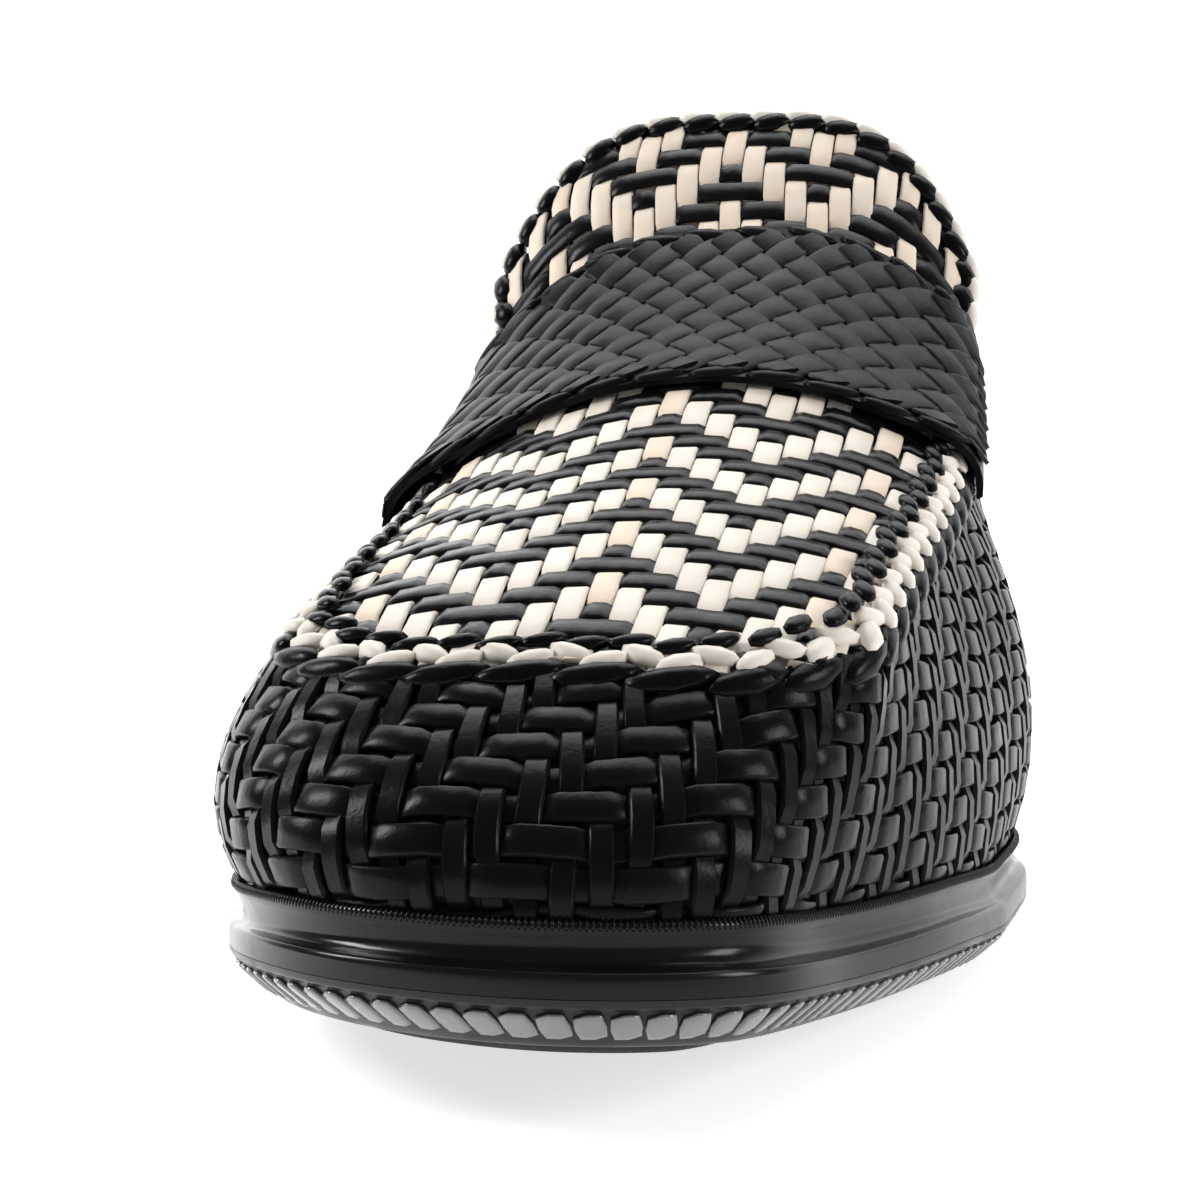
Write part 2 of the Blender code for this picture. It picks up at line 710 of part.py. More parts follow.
def upper_shell(bm, controls, grid, columns, woven):
    """Apron and wall vertices joined along the rim; returns the loops that bound them."""
    apron = [add_points(bm, row) for row in grid]
    across = len(apron[0]) - 1
    joined = (len(apron) - 1) * APRON_ROWS // (APRON_ROWS + TONGUE_ROWS)
    rim = [row[0] for row in apron[joined::-1]] + apron[0][1:] + [row[-1] for row in apron[1:joined + 1]]
    tops = rim + add_points(bm, controls[len(rim):, 3])
    walls = []
    for k, top in enumerate(tops):
        points, length = columns(controls[k])
        line = add_points(bm, [p for p, at in points if at < length])
        walls.append(line + [top] * (len(points) - len(line)))
    if woven:
        foot = [line[:2] for line in walls]
        loft(bm, [[pair[0] for pair in foot], [pair[1] for pair in foot]])
        weave(bm, [line[1:] for line in walls], wall_twill, True, WEAVE_RELIEF)
        lengthwise = [[row[c] for row in apron] for c in range(across, -1, -1)]
        weave(bm, lengthwise, apron_twill, False, WEAVE_RELIEF)
    else:
        loft(bm, [[line[r] for line in walls] for r in range(len(walls[0]))])
        loft(bm, apron, closed=False)
    tongue = ([row[0] for row in apron[joined:]] + apron[-1][1:-1]
              + [row[-1] for row in apron[:joined - 1:-1]])
    opening = tongue + tops[len(rim):]
    return [line[0] for line in walls], opening, rim


def upper(collection):
    """Hollow woven upper: wall, apron and tongue in one, open at the collar and underneath."""
    grid = apron_grid()
    controls = wall_controls(grid)
    tallest = max(along_section(c, [0])[1] for c in controls)
    rows = int(math.ceil((tallest - BASE_MARGIN) / ROW_PITCH)) + 1

    def woven_column(section):
        length = along_section(section, [0])[1]
        at = wall_lengths(length, rows)
        return list(zip(along_section(section, at)[0], at)), length

    def smooth_column(section):
        length = along_section(section, [0])[1]
        at = np.linspace(0, length, WALL_INNER_ROWS + 1)
        return list(zip(along_section(section, at)[0], at)), length

    bm = bmesh.new()
    foot, opening, rim = upper_shell(bm, controls, grid, woven_column, True)
    bmesh.ops.recalc_face_normals(bm, faces=bm.faces)
    if sum(v.normal.z for v in rim) < 0:
        bmesh.ops.reverse_faces(bm, faces=bm.faces)
    bm.normal_update()
    hold = {v: v.co.copy() for v in foot}
    bead(rim, RIM_BEAD)
    bead([v for v in opening if v not in rim], EDGE_BEAD)
    outer = set(bm.verts)
    inner_foot, inner_opening, _ = upper_shell(bm, controls[::2], grid[::2, ::2], smooth_column, False)
    lining = [v for v in bm.verts if v not in outer]
    inside = [f for f in bm.faces if f.verts[0] not in outer]
    bmesh.ops.recalc_face_normals(bm, faces=inside)
    if sum(v.normal.z for v in inner_opening) < 0:
        bmesh.ops.reverse_faces(bm, faces=inside)
    bm.normal_update()
    level = {v: v.co.z for v in inner_foot}
    bead(lining, -WALL_THICKNESS)
    for v, z in level.items():
        v.co.z = z
    for v, place in hold.items():
        v.co = place
    bmesh.ops.reverse_faces(bm, faces=inside)
    stitch(bm, foot, inner_foot)
    stitch(bm, opening, inner_opening)
    return finish(bm, "upper", collection, LEATHER_BLACK, 0.4)


def strap_half():
    """Length of the strap from the crown of the instep to the rim."""
    across = np.linspace(0, 1, SECTION_FINE)
    return run_length(apron_point(across, np.full(SECTION_FINE, STRAP_FRONT)))[-1]


def strap_reach(across):
    """Distance from the crown at a share of the strap, which ends lower on the lateral side."""
    return np.abs(across) * (strap_half() + np.where(across > 0, STRAP_DROP_MEDIAL, STRAP_DROP_LATERAL))


def strap_point(controls, across, along):
    """Point over apron and wall: across from -1 to 1 over the whole strap, along front to back."""
    half = strap_half()
    side = 1 if across > 0 else -1
    reach = strap_reach(across)
    narrow = STRAP_END_NARROWING * across ** 2
    from_heel = STRAP_FRONT - narrow - along * (STRAP_WIDTH - 2 * narrow)
    if reach <= half:
        return apron_point(np.array(side * reach / half), np.array(from_heel))
    lines = controls[:APRON_ROWS + 1] if side > 0 else controls[-1 - APRON_ROWS:][::-1]
    at = SOLE_LENGTH / 2 - lines[:, 3, 1]
    section = np.array([[np.interp(from_heel, at, lines[:, i, k]) for k in range(3)] for i in range(4)])
    length = along_section(section, [0])[1]
    return along_section(section, [length - (reach - half)])[0][0]


def strap(collection):
    """Plaited saddle strap over the instep, its strips running on the bias."""
    grid = apron_grid()
    rim_count = 2 * APRON_ROWS + APRON_COLUMNS + 1
    controls = wall_controls(grid)[:rim_count]
    base = np.array([[strap_point(controls, -1 + 2 * i / STRAP_COLUMNS, j / STRAP_ROWS)
                      for j in range(STRAP_ROWS + 1)] for i in range(STRAP_COLUMNS + 1)])
    slope_i = np.gradient(base, axis=0)
    slope_j = np.gradient(base, axis=1)
    normal = np.cross(slope_i, slope_j)
    normal /= np.linalg.norm(normal, axis=-1, keepdims=True)
    if normal[..., 2].sum() < 0:
        normal = -normal
    reach = strap_reach(np.linspace(-1, 1, STRAP_COLUMNS + 1))
    over_rim = np.exp(-((reach - strap_half()) / STRAP_RIM_SPREAD) ** 2)
    clear = (WEAVE_RELIEF + STRAP_CLEAR + STRAP_RIM_LIFT * over_rim)[:, None, None]
    under = base + normal * clear
    over = base + normal * (clear + STRAP_THICKNESS)
    bm = bmesh.new()
    low = [[bm.verts.new(under[i, j]) for j in (0, STRAP_ROWS // 2, STRAP_ROWS)]
           for i in range(0, STRAP_COLUMNS + 1, 2)]
    top = {}
    for i in range(STRAP_COLUMNS + 1):
        for j in range(STRAP_ROWS + 1):
            if (i + j) % 2 == 0:
                top[i, j] = bm.verts.new(over[i, j])
    for i in range(STRAP_COLUMNS + 1):
        for j in range(STRAP_ROWS + 1):
            if (i + j) % 2 == 0:
                continue
            around = [top.get((i - 1, j)), top.get((i, j - 1)), top.get((i + 1, j)), top.get((i, j + 1))]
            kept = [v for v in around if v]
            if len(kept) == 4:
                peak = bm.verts.new(over[i, j] + normal[i, j] * STRAP_RELIEF)
                for k in range(4):
                    face(bm, [kept[k], kept[(k + 1) % 4], peak])
            elif len(kept) == 3:
                face(bm, kept)
    rim_top = ([top[i, 0] for i in range(0, STRAP_COLUMNS + 1, 2)]
               + [top[STRAP_COLUMNS, j] for j in range(2, STRAP_ROWS + 1, 2)]
               + [top[i, STRAP_ROWS] for i in range(STRAP_COLUMNS - 2, -1, -2)]
               + [top[0, j] for j in range(STRAP_ROWS - 2, 0, -2)])
    rim_low = ([line[0] for line in low] + [low[-1][1], low[-1][2]]
               + [line[2] for line in low[-2::-1]] + [low[0][1]])
    loft(bm, [[line[k] for line in low] for k in range(3)], closed=False)
    edges = []
    for ring in (rim_top, rim_low):
        for k, v in enumerate(ring):
            n = ring[(k + 1) % len(ring)]
            edges.append(bm.edges.get((v, n)) or bm.edges.new((v, n)))
    bmesh.ops.bridge_loops(bm, edges=edges)
    return finish(bm, "saddle_strap", collection, LEATHER_BLACK, 0.35)


for old in list(bpy.data.objects):
    bpy.data.objects.remove(old, do_unlink=True)
PARTS = bpy.data.collections.new(SHOE)
CUTTERS = bpy.data.collections.new("cutters")
bpy.context.scene.collection.children.link(PARTS)
bpy.context.scene.collection.children.link(CUTTERS)

outsole(PARTS)
tread(PARTS)
welt(PARTS)
heel_rand(PARTS)
heel(PARTS)
top_lift(PARTS)
insole(PARTS)
upper(PARTS)
strap(PARTS)
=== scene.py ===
"""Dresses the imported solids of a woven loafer: plaited leather, braids, welt, sole and studio."""
import math
from collections import namedtuple

import bmesh
import bpy
import numpy as np
from bpy.props import FloatProperty, FloatVectorProperty, IntProperty, PointerProperty
from mathutils import Matrix, Vector


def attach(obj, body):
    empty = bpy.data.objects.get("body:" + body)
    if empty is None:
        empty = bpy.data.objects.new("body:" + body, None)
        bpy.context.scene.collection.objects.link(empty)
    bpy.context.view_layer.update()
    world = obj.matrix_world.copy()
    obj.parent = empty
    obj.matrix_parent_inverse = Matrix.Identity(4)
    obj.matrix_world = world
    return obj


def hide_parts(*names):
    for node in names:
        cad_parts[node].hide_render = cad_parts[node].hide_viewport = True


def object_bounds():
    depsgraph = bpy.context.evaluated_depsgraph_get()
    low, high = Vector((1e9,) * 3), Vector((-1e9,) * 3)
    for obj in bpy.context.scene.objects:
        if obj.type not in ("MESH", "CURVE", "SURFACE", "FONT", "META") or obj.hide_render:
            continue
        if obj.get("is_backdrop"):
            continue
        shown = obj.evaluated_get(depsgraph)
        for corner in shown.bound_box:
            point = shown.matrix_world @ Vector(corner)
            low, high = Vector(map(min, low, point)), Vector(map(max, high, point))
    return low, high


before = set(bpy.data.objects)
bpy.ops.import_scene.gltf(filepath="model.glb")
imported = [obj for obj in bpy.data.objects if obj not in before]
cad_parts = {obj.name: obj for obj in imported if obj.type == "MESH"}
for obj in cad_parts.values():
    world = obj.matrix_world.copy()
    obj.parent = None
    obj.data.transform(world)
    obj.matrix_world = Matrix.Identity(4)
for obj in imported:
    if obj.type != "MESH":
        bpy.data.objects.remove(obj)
CAD_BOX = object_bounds()

bl_info = {
    "name": "Woven loafer",
    "version": (1, 0, 0),
    "blender": (4, 5, 0),
    "location": "View3D > Sidebar > Loafer",
    "description": "Plaited upper, braids, welt, sole and studio of a woven loafer",
    "category": "Object",
}

MM = 0.001
BODY = "root"
SEED = 7

# The last and the sole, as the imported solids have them
SOLE_LENGTH = 275 * MM
JOINT_GAP = 0.3 * MM
OUTSOLE_THICKNESS = 5.0 * MM
BEVEL_WIDTH = 5.2 * MM
RIB_START_SHARE = 0.40
TREAD_THICKNESS = 1.3 * MM
STANCE = TREAD_THICKNESS + JOINT_GAP
TREAD_INSET = 10.5 * MM
TREAD_BEVEL = 1.2 * MM
TREAD_REAR_CORNER = 0.575
TREAD_REAR_POINT = 0.505
TREAD_POINT_HALF = 11 * MM
WELT_HEIGHT = 3.4 * MM
WELT_UNDER_WALL = 5.0 * MM
WELT_LIP_CLEAR = 1.5 * MM
WELT_LIP_HEIGHT = 1.8 * MM
UPPER_BASE = OUTSOLE_THICKNESS + WELT_HEIGHT + 2 * JOINT_GAP
WELT_END_SHARE = 0.275
HEEL_INSET = 0.8 * MM
HEEL_TAPER = 1.6 * MM
LIFT_HEIGHT = 6.0 * MM
BREAST_MEDIAL = 0.285
BREAST_LATERAL = 0.262
BREAST_HOLLOW = 8 * MM
LIFT_JOINT_FROM_HEEL = 34 * MM
LIFT_STEP = 7 * MM
LIFT_STEP_AT = 10 * MM
WALL_THICKNESS = 1.7 * MM
WEAVE_RELIEF = 1.1 * MM
APRON_FRONT = 252 * MM
APRON_CORNER = 15 * MM
APRON_CORNER_POWER = 4
JOIN_FROM_HEEL = 121 * MM
TONGUE_TIP = 103 * MM
TONGUE_ROUND = 9 * MM
INSOLE_THICKNESS = 2.6 * MM
INSOLE_CLEAR = 0.5 * MM
STRAP_FRONT = 162 * MM
STRAP_WIDTH = 38 * MM
STRAP_DROP_LATERAL = 7.0 * MM
STRAP_DROP_MEDIAL = 4.0 * MM
STRAP_END_NARROWING = 0.5 * MM
STRAP_CLEAR = 0.45 * MM
STRAP_RIM_LIFT = 1.5 * MM
STRAP_RIM_SPREAD = 8 * MM
COLLAR_BACK = 5.0 * MM
SECTION_LOW_RISE = 0.42
SECTION_SHOULDER = 0.28
SECTION_TOP_DROP = 0.22
OUTLINE_STEP = 0.004
FINE = 1200
SECTION_FINE = 64
CORE_HEIGHT = 20 * MM

Sole = namedtuple("Sole", "share centre half_width margin bottom")
# Stations from heel to toe, mm: middle and half width of the sole, the welt's margin and the underside.
SOLE_TABLE = [Sole(*row) for row in (
    (0.000, -1.0, 0.0, 3.2, 22.0),
    (0.040, -1.0, 22.4, 3.2, 21.6),
    (0.100, -0.3, 30.0, 3.2, 21.0),
    (0.200, 0.0, 31.6, 3.4, 20.0),
    (0.295, -1.1, 29.9, 4.0, 18.6),
    (0.395, -4.2, 29.2, 4.2, 13.0),
    (0.490, -6.5, 35.3, 4.4, 5.6),
    (0.590, -0.1, 45.9, 4.2, 1.7),
    (0.690, 0.7, 46.3, 3.9, 1.4),
    (0.790, 2.7, 40.3, 3.8, 3.4),
    (0.890, 2.9, 32.3, 4.4, 5.1),
    (0.960, 6.2, 23.3, 5.2, 7.3),
    (1.000, 8.0, 0.0, 5.6, 8.2),
)]

Instep = namedtuple("Instep", "from_heel height half_width centre drop tilt power")
# Stations along apron and tongue, mm: crown, half width, middle, drop to the rim, tilt and boxiness.
INSTEP_TABLE = [Instep(*row) for row in (
    (100, 110.5, 34.0, -0.8, 14.5, 0.0, 3.4),
    (112, 101.0, 34.0, -0.5, 16.0, 0.5, 3.4),
    (124, 89.5, 32.8, 1.3, 16.0, 1.5, 3.0),
    (142, 77.5, 34.2, 1.8, 15.0, 2.2, 2.4),
    (162, 67.5, 35.8, 1.6, 12.8, 2.8, 2.1),
    (185, 59.5, 35.0, 2.4, 9.4, 2.4, 2.0),
    (210, 53.0, 33.0, 3.6, 6.5, 1.5, 2.0),
    (235, 46.0, 30.8, 5.0, 4.2, 0.7, 2.0),
    (254, 39.5, 29.4, 6.0, 2.8, 0.4, 2.0),
)]

Collar = namedtuple("Collar", "share half_width height bulge")
# Stations of the opening's edge from the heel to the strap, mm.
COLLAR_TABLE = [Collar(*row) for row in (
    (0.00, 0.0, 82.0, 1.2),
    (0.03, 11.5, 81.0, 1.3),
    (0.08, 18.0, 78.5, 1.6),
    (0.18, 23.0, 73.5, 2.0),
    (0.34, 26.5, 67.0, 2.4),
    (0.54, 29.5, 62.5, 2.9),
    (0.76, 32.2, 64.0, 3.8),
    (1.00, 33.4, 73.0, 5.2),
)]

Bulge = namedtuple("Bulge", "from_heel medial lateral")
# Stations of the wall in front of the opening: its outward bulge on the two sides, mm.
BULGE_TABLE = [Bulge(*row) for row in (
    (121, 5.4, 5.0),
    (140, 14.5, 8.0),
    (165, 10.0, 9.4),
    (200, 4.4, 11.2),
    (254, 4.4, 11.2),
)]

# Section of a leather strip with soft edges: across and up, in half widths and half thicknesses
STRIP_SECTION = np.array([
    (-1.0, -0.3), (-0.95, 0.5), (-0.78, 1.0), (0.78, 1.0),
    (0.95, 0.5), (1.0, -0.3), (0.75, -1.0), (-0.75, -1.0),
])
STRIP_CREASE = 40
CELL_SAMPLES = (0.0, 0.3, 0.7)
FLOAT_CROWN = 1.15
# Strips after which the two-over-two twill repeats
TWILL = 4
CUT_CLEAR = 0.05

# Angles in degrees over which a smooth mesh keeps a sharp edge
EDGE_SHARP = 50
WELT_SHARP = 60
HEEL_SHARP = 35


# Form of the last and the sole

def smooth(at, knots, values):
    """Value of a cubic curve through the knots, sloped by the neighbouring chords."""
    knots = np.asarray(knots, float)
    values = np.asarray(values, float)
    slopes = np.gradient(values, knots)
    at = np.clip(at, knots[0], knots[-1])
    k = np.clip(np.searchsorted(knots, at, side="right") - 1, 0, len(knots) - 2)
    span = knots[k + 1] - knots[k]
    f = (at - knots[k]) / span
    rise = f * f * (3 - 2 * f)
    bend = span * f * (1 - f) * ((1 - f) * slopes[k] - f * slopes[k + 1])
    return values[k] * (1 - rise) + values[k + 1] * rise + bend


def column(table, name):
    """One named column of a table as an array."""
    return np.array([getattr(row, name) for row in table], float)


SOLE_ANGLES = np.arccos(1 - 2 * column(SOLE_TABLE, "share"))


def unit(vectors):
    """Vectors made one long."""
    return vectors / np.maximum(np.linalg.norm(vectors, axis=-1, keepdims=True), 1e-12)


def step_up(f):
    """Soft step from 0 to 1."""
    f = np.clip(f, 0, 1)
    return f * f * (3 - 2 * f)


def fold(angle):
    """Angle round the outline (heel 0, toe pi, on to 2 pi) folded to heel-to-toe."""
    angle = np.mod(angle, 2 * math.pi)
    return np.where(angle > math.pi, 2 * math.pi - angle, angle)


def outline(angle):
    """Plan point on the sole's outer edge at an angle round the shoe."""
    along = fold(angle)
    side = np.where(np.mod(angle, 2 * math.pi) > math.pi, -1.0, 1.0)
    half = smooth(along, SOLE_ANGLES, column(SOLE_TABLE, "half_width")) * MM
    middle = smooth(along, SOLE_ANGLES, column(SOLE_TABLE, "centre")) * MM
    share = (1 - np.cos(along)) / 2
    return np.stack([middle + side * half, (0.5 - share) * SOLE_LENGTH], axis=-1)


def outward(angle):
    """Level unit vector pointing out of the outline."""
    run = outline(angle + OUTLINE_STEP) - outline(angle - OUTLINE_STEP)
    return unit(np.stack([-run[..., 1], run[..., 0]], axis=-1))


WIDEST = outline(np.linspace(0, 2 * math.pi, FINE + 1))[:, 0]
SIDE_SHIFT = (WIDEST.max() + WIDEST.min()) / 2


def underside(y):
    """Height of the outsole's underside at a place along the shoe."""
    share = 0.5 - y / SOLE_LENGTH
    return np.maximum(smooth(share, column(SOLE_TABLE, "share"), column(SOLE_TABLE, "bottom")) * MM, STANCE)


def margin(angle):
    """Width of the welt outside the foot of the upper."""
    return smooth(fold(angle), SOLE_ANGLES, column(SOLE_TABLE, "margin")) * MM


def sole_points(angles, inset, height):
    """Points inset from the outline and raised over the outsole's underside."""
    plan = outline(angles) - outward(angles) * np.reshape(inset, (-1, 1))
    level = underside(plan[:, 1]) + height
    return np.column_stack([plan[:, 0] - SIDE_SHIFT, plan[:, 1], level])


def even_angles(pitch, start=0.0, end=math.pi):
    """Angles of one side, spaced by the mean run of both edges."""
    fine = np.linspace(start, end, FINE)
    run = np.linalg.norm(np.diff(outline(fine), axis=0), axis=1)
    run += np.linalg.norm(np.diff(outline(-fine), axis=0), axis=1)
    length = np.concatenate([[0], np.cumsum(run / 2)])
    count = max(2, int(round(length[-1] / pitch / 2)) * 2)
    return np.interp(np.linspace(0, length[-1], count + 1), length, fine)


def share_angle(share):
    """Angle on the medial side of a station along the shoe."""
    return math.acos(1 - 2 * share)


def both_sides(side):
    """Full round of angles from heel over the medial side, toe and lateral side."""
    return np.concatenate([side, 2 * math.pi - side[-2:0:-1]])


def open_round(side):
    """Angles from a medial place over the toe to the same place on the lateral side."""
    return np.concatenate([side, 2 * math.pi - side[-2::-1]])


def run_length(points):
    """Distance along a line of points, from its first."""
    return np.concatenate([[0], np.cumsum(np.linalg.norm(np.diff(points, axis=0), axis=1))])


def resample(points, count):
    """Points spread evenly along a line."""
    length = run_length(points)
    at = np.linspace(0, length[-1], count + 1)
    return np.column_stack([np.interp(at, length, points[:, k]) for k in range(points.shape[1])])


def instep(from_heel, name):
    """One column of the instep table at distances from the heel."""
    return smooth(from_heel / MM, column(INSTEP_TABLE, "from_heel"), column(INSTEP_TABLE, name)) * MM


def apron_point(across, from_heel):
    """Point of the woven apron or tongue; across runs from -1 lateral to 1 medial."""
    x = instep(from_heel, "centre") + across * instep(from_heel, "half_width")
    power = instep(from_heel, "power") / MM
    z = instep(from_heel, "height") - instep(from_heel, "drop") * np.abs(across) ** power
    z = z + instep(from_heel, "tilt") * across
    return np.stack(np.broadcast_arrays(x - SIDE_SHIFT, SOLE_LENGTH / 2 - from_heel, z), axis=-1)


def apron_front(across):
    """Distance from the heel of the apron's front rim."""
    return APRON_FRONT - APRON_CORNER * np.abs(across) ** APRON_CORNER_POWER


def tongue_end(across):
    """Distance from the heel of the tongue's edge."""
    return TONGUE_TIP + TONGUE_ROUND * np.abs(across) ** APRON_CORNER_POWER


def collar_line():
    """Edge of the opening from the lateral end of the strap round the heel to the medial end."""
    share = np.linspace(0, 1, FINE) ** 2
    angle = np.sqrt(share)
    knots = np.sqrt(column(COLLAR_TABLE, "share"))
    half = smooth(angle, knots, column(COLLAR_TABLE, "half_width")) * MM
    height = smooth(angle, knots, column(COLLAR_TABLE, "height")) * MM
    from_heel = COLLAR_BACK + share * (JOIN_FROM_HEEL - COLLAR_BACK)
    middle = smooth(from_heel / SOLE_LENGTH, column(SOLE_TABLE, "share"), column(SOLE_TABLE, "centre")) * MM
    last = apron_point(np.array([1.0, -1.0]), np.array([JOIN_FROM_HEEL, JOIN_FROM_HEEL]))
    ends = []
    for side, end in ((1, last[0]), (-1, last[1])):
        line = np.column_stack([middle + side * half - SIDE_SHIFT, SOLE_LENGTH / 2 - from_heel, height])
        line += np.outer(share ** 2, end - line[-1])
        ends.append(line)
    return np.concatenate([ends[1][::-1], ends[0][1:]])


def rim_across():
    """Rim of the apron as (across, from heel), from the medial strap end round to the lateral one."""
    side = np.linspace(JOIN_FROM_HEEL, APRON_FRONT - APRON_CORNER, FINE)
    across = np.linspace(1, -1, FINE)[1:-1]
    medial = np.column_stack([np.ones(FINE), side])
    front = np.column_stack([across, apron_front(across)])
    lateral = np.column_stack([-np.ones(FINE), side[::-1]])
    return np.concatenate([medial, front, lateral])


class Sheet:
    """Smooth sheet sampled on an even grid, read anywhere with its outward normal."""

    def __init__(self, points, outside, wrap=False):
        self.points = points
        self.wrap = wrap
        if wrap:
            across = np.roll(points, -1, axis=0) - np.roll(points, 1, axis=0)
        else:
            across = np.gradient(points, axis=0)
        normal = unit(np.cross(across, np.gradient(points, axis=1)))
        seen = (normal * outside(points)).sum()
        self.normals = normal if seen > 0 else -normal

    def read(self, field, i, j):
        """Values of a field between its samples."""
        rows, columns = field.shape[:2]
        i = np.mod(i, rows) if self.wrap else np.clip(i, 0, rows - 1)
        j = np.clip(j, 0, columns - 1)
        i0 = np.floor(i).astype(int)
        j0 = np.minimum(np.floor(j).astype(int), columns - 2)
        if not self.wrap:
            i0 = np.minimum(i0, rows - 2)
        fi = (i - i0)[:, None]
        fj = (j - j0)[:, None]
        i0 = np.mod(i0, rows)
        i1 = np.mod(i0 + 1, rows)
        low = field[i0, j0] * (1 - fi) + field[i1, j0] * fi
        high = field[i0, j0 + 1] * (1 - fi) + field[i1, j0 + 1] * fi
        return low * (1 - fj) + high * fj

    def at(self, i, j):
        """Points and unit normals at places on the grid."""
        i, j = np.broadcast_arrays(np.asarray(i, float), np.asarray(j, float))
        return self.read(self.points, i, j), unit(self.read(self.normals, i, j))


def from_inside(points):
    """Rough outward direction of the upper's surface, away from the line of the foot."""
    core = points.copy()
    core[..., 0] = 0
    core[..., 2] = CORE_HEIGHT
    return points - core


def cubic(f):
    """Weights of the four controls of a cubic curve at a share along it."""
    g = 1 - f
    return g ** 3, 3 * g * g * f, 3 * g * f * f, f ** 3


def section_points(controls, lengths):
    """Points of an upright section at lengths up from its foot, run on straight past its top."""
    f = np.linspace(0, 1, SECTION_FINE + 1)[:, None]
    fine = sum(weight * control for weight, control in zip(cubic(f), controls))
    at = run_length(fine)
    points = np.column_stack([np.interp(lengths, at, fine[:, k]) for k in range(3)])
    past = np.clip(lengths - at[-1], 0, None)[:, None]
    return points + past * unit(fine[-1] - fine[-2]), at[-1]


class Wall:
    """Woven wall: u counts columns from the medial strap end round the toe and heel, v is height up it."""

    STEP = 1.0 * MM
    PAST_TOP = 6 * MM

    def __init__(self, front_columns, rear_columns):
        self.columns = front_columns + rear_columns
        rim = resample(apron_point(*rim_across().T), 2 * front_columns)
        collar = resample(collar_line(), 2 * rear_columns)
        join = share_angle(JOIN_FROM_HEEL / SOLE_LENGTH)
        angles = []
        for fine, count in ((np.linspace(join, 2 * math.pi - join, FINE), 2 * front_columns),
                            (np.linspace(-join, join, FINE), 2 * rear_columns)):
            at = run_length(sole_points(fine, margin(fine), UPPER_BASE))
            angles.append(np.interp(np.linspace(0, at[-1], count + 1), at, fine))
        angles = np.concatenate([angles[0], angles[1][1:-1]])
        self.angles = angles
        top = np.concatenate([rim, collar[1:-1]])
        foot = sole_points(angles, margin(angles), UPPER_BASE)
        from_heel = SOLE_LENGTH / 2 - foot[:, 1]
        reach = np.sqrt(np.clip(from_heel / JOIN_FROM_HEEL, 0, 1))
        rear = smooth(reach, np.sqrt(column(COLLAR_TABLE, "share")), column(COLLAR_TABLE, "bulge"))
        out = np.column_stack([outward(angles), np.zeros(len(angles))])
        stations = column(BULGE_TABLE, "from_heel")
        medial = smooth(from_heel / MM, stations, column(BULGE_TABLE, "medial"))
        lateral = smooth(from_heel / MM, stations, column(BULGE_TABLE, "lateral"))
        front = lateral + (medial - lateral) * (1 + out[:, 0]) / 2
        bulge = np.where(from_heel > JOIN_FROM_HEEL, front, rear)[:, None] * MM
        lean = (foot - top) * (1, 1, 0)
        rise = (top - foot) * (0, 0, 1)
        low = foot + rise * SECTION_LOW_RISE + out * bulge
        high = top + lean * SECTION_SHOULDER + out * bulge * SECTION_SHOULDER - rise * SECTION_TOP_DROP
        self.controls = np.stack([foot, low, high, top], axis=1)
        self.heights = np.array([section_points(c, np.zeros(1))[1] for c in self.controls])
        lengths = np.arange(0, self.heights.max() + self.PAST_TOP, self.STEP)
        grid = np.array([section_points(c, lengths)[0] for c in self.controls])
        self.sheet = Sheet(grid, from_inside, wrap=True)

    def at(self, u, v):
        """Points and normals at columns u and heights v."""
        return self.sheet.at(np.asarray(u) * 2, np.asarray(v) / self.STEP)

    def reach_out(self, angles, rise):
        """How far the wall has bulged out past its foot at a rise over it."""
        lengths = np.linspace(0, 2 * rise, SECTION_FINE)
        out = []
        for controls, angle in zip(self.controls, self.angles):
            points = section_points(controls, lengths)[0] - controls[0]
            away = points[:, :2] @ outward(np.array([angle]))[0]
            out.append(np.interp(rise, points[:, 2], away))
        return np.interp(angles, self.angles, out, period=2 * math.pi)

    def height(self, u):
        """Height of the wall up its surface at columns u."""
        at = np.arange(len(self.heights) + 1) / 2
        return np.interp(np.mod(u, self.columns), at, np.append(self.heights, self.heights[0]))


class Apron:
    """Apron and tongue: a runs across from -1 to 1, l along the crown from toe rim to tongue tip."""

    STEP = 1.0 * MM
    ACROSS = 64
    PAST_ENDS = 2 * MM

    def __init__(self):
        fine = np.linspace(APRON_FRONT + self.PAST_ENDS, TONGUE_TIP - self.PAST_ENDS, FINE)
        crown = run_length(apron_point(np.zeros(FINE), fine))
        self.from_heel = fine
        self.crown = crown - np.interp(-APRON_FRONT, -fine, crown)
        count = int((self.crown[-1] - self.crown[0]) / self.STEP)
        lines = self.place(self.crown[0] + np.arange(count + 1) * self.STEP)
        across = np.linspace(-1, 1, self.ACROSS + 1)
        grid = np.array([apron_point(np.full(len(lines), a), lines) for a in across])
        self.sheet = Sheet(grid, from_inside)
        self.length = self.along(np.array([TONGUE_TIP]))[0]

    def place(self, l):
        """Distance from the heel at lengths along the crown."""
        return np.interp(l, self.crown, self.from_heel)

    def along(self, from_heel):
        """Length along the crown at distances from the heel."""
        return np.interp(-np.asarray(from_heel), -self.from_heel, self.crown)

    def at(self, a, l):
        """Points and normals at shares across and lengths along."""
        row = (np.asarray(a) + 1) / 2 * self.ACROSS
        return self.sheet.at(row, (np.asarray(l) - self.crown[0]) / self.STEP)


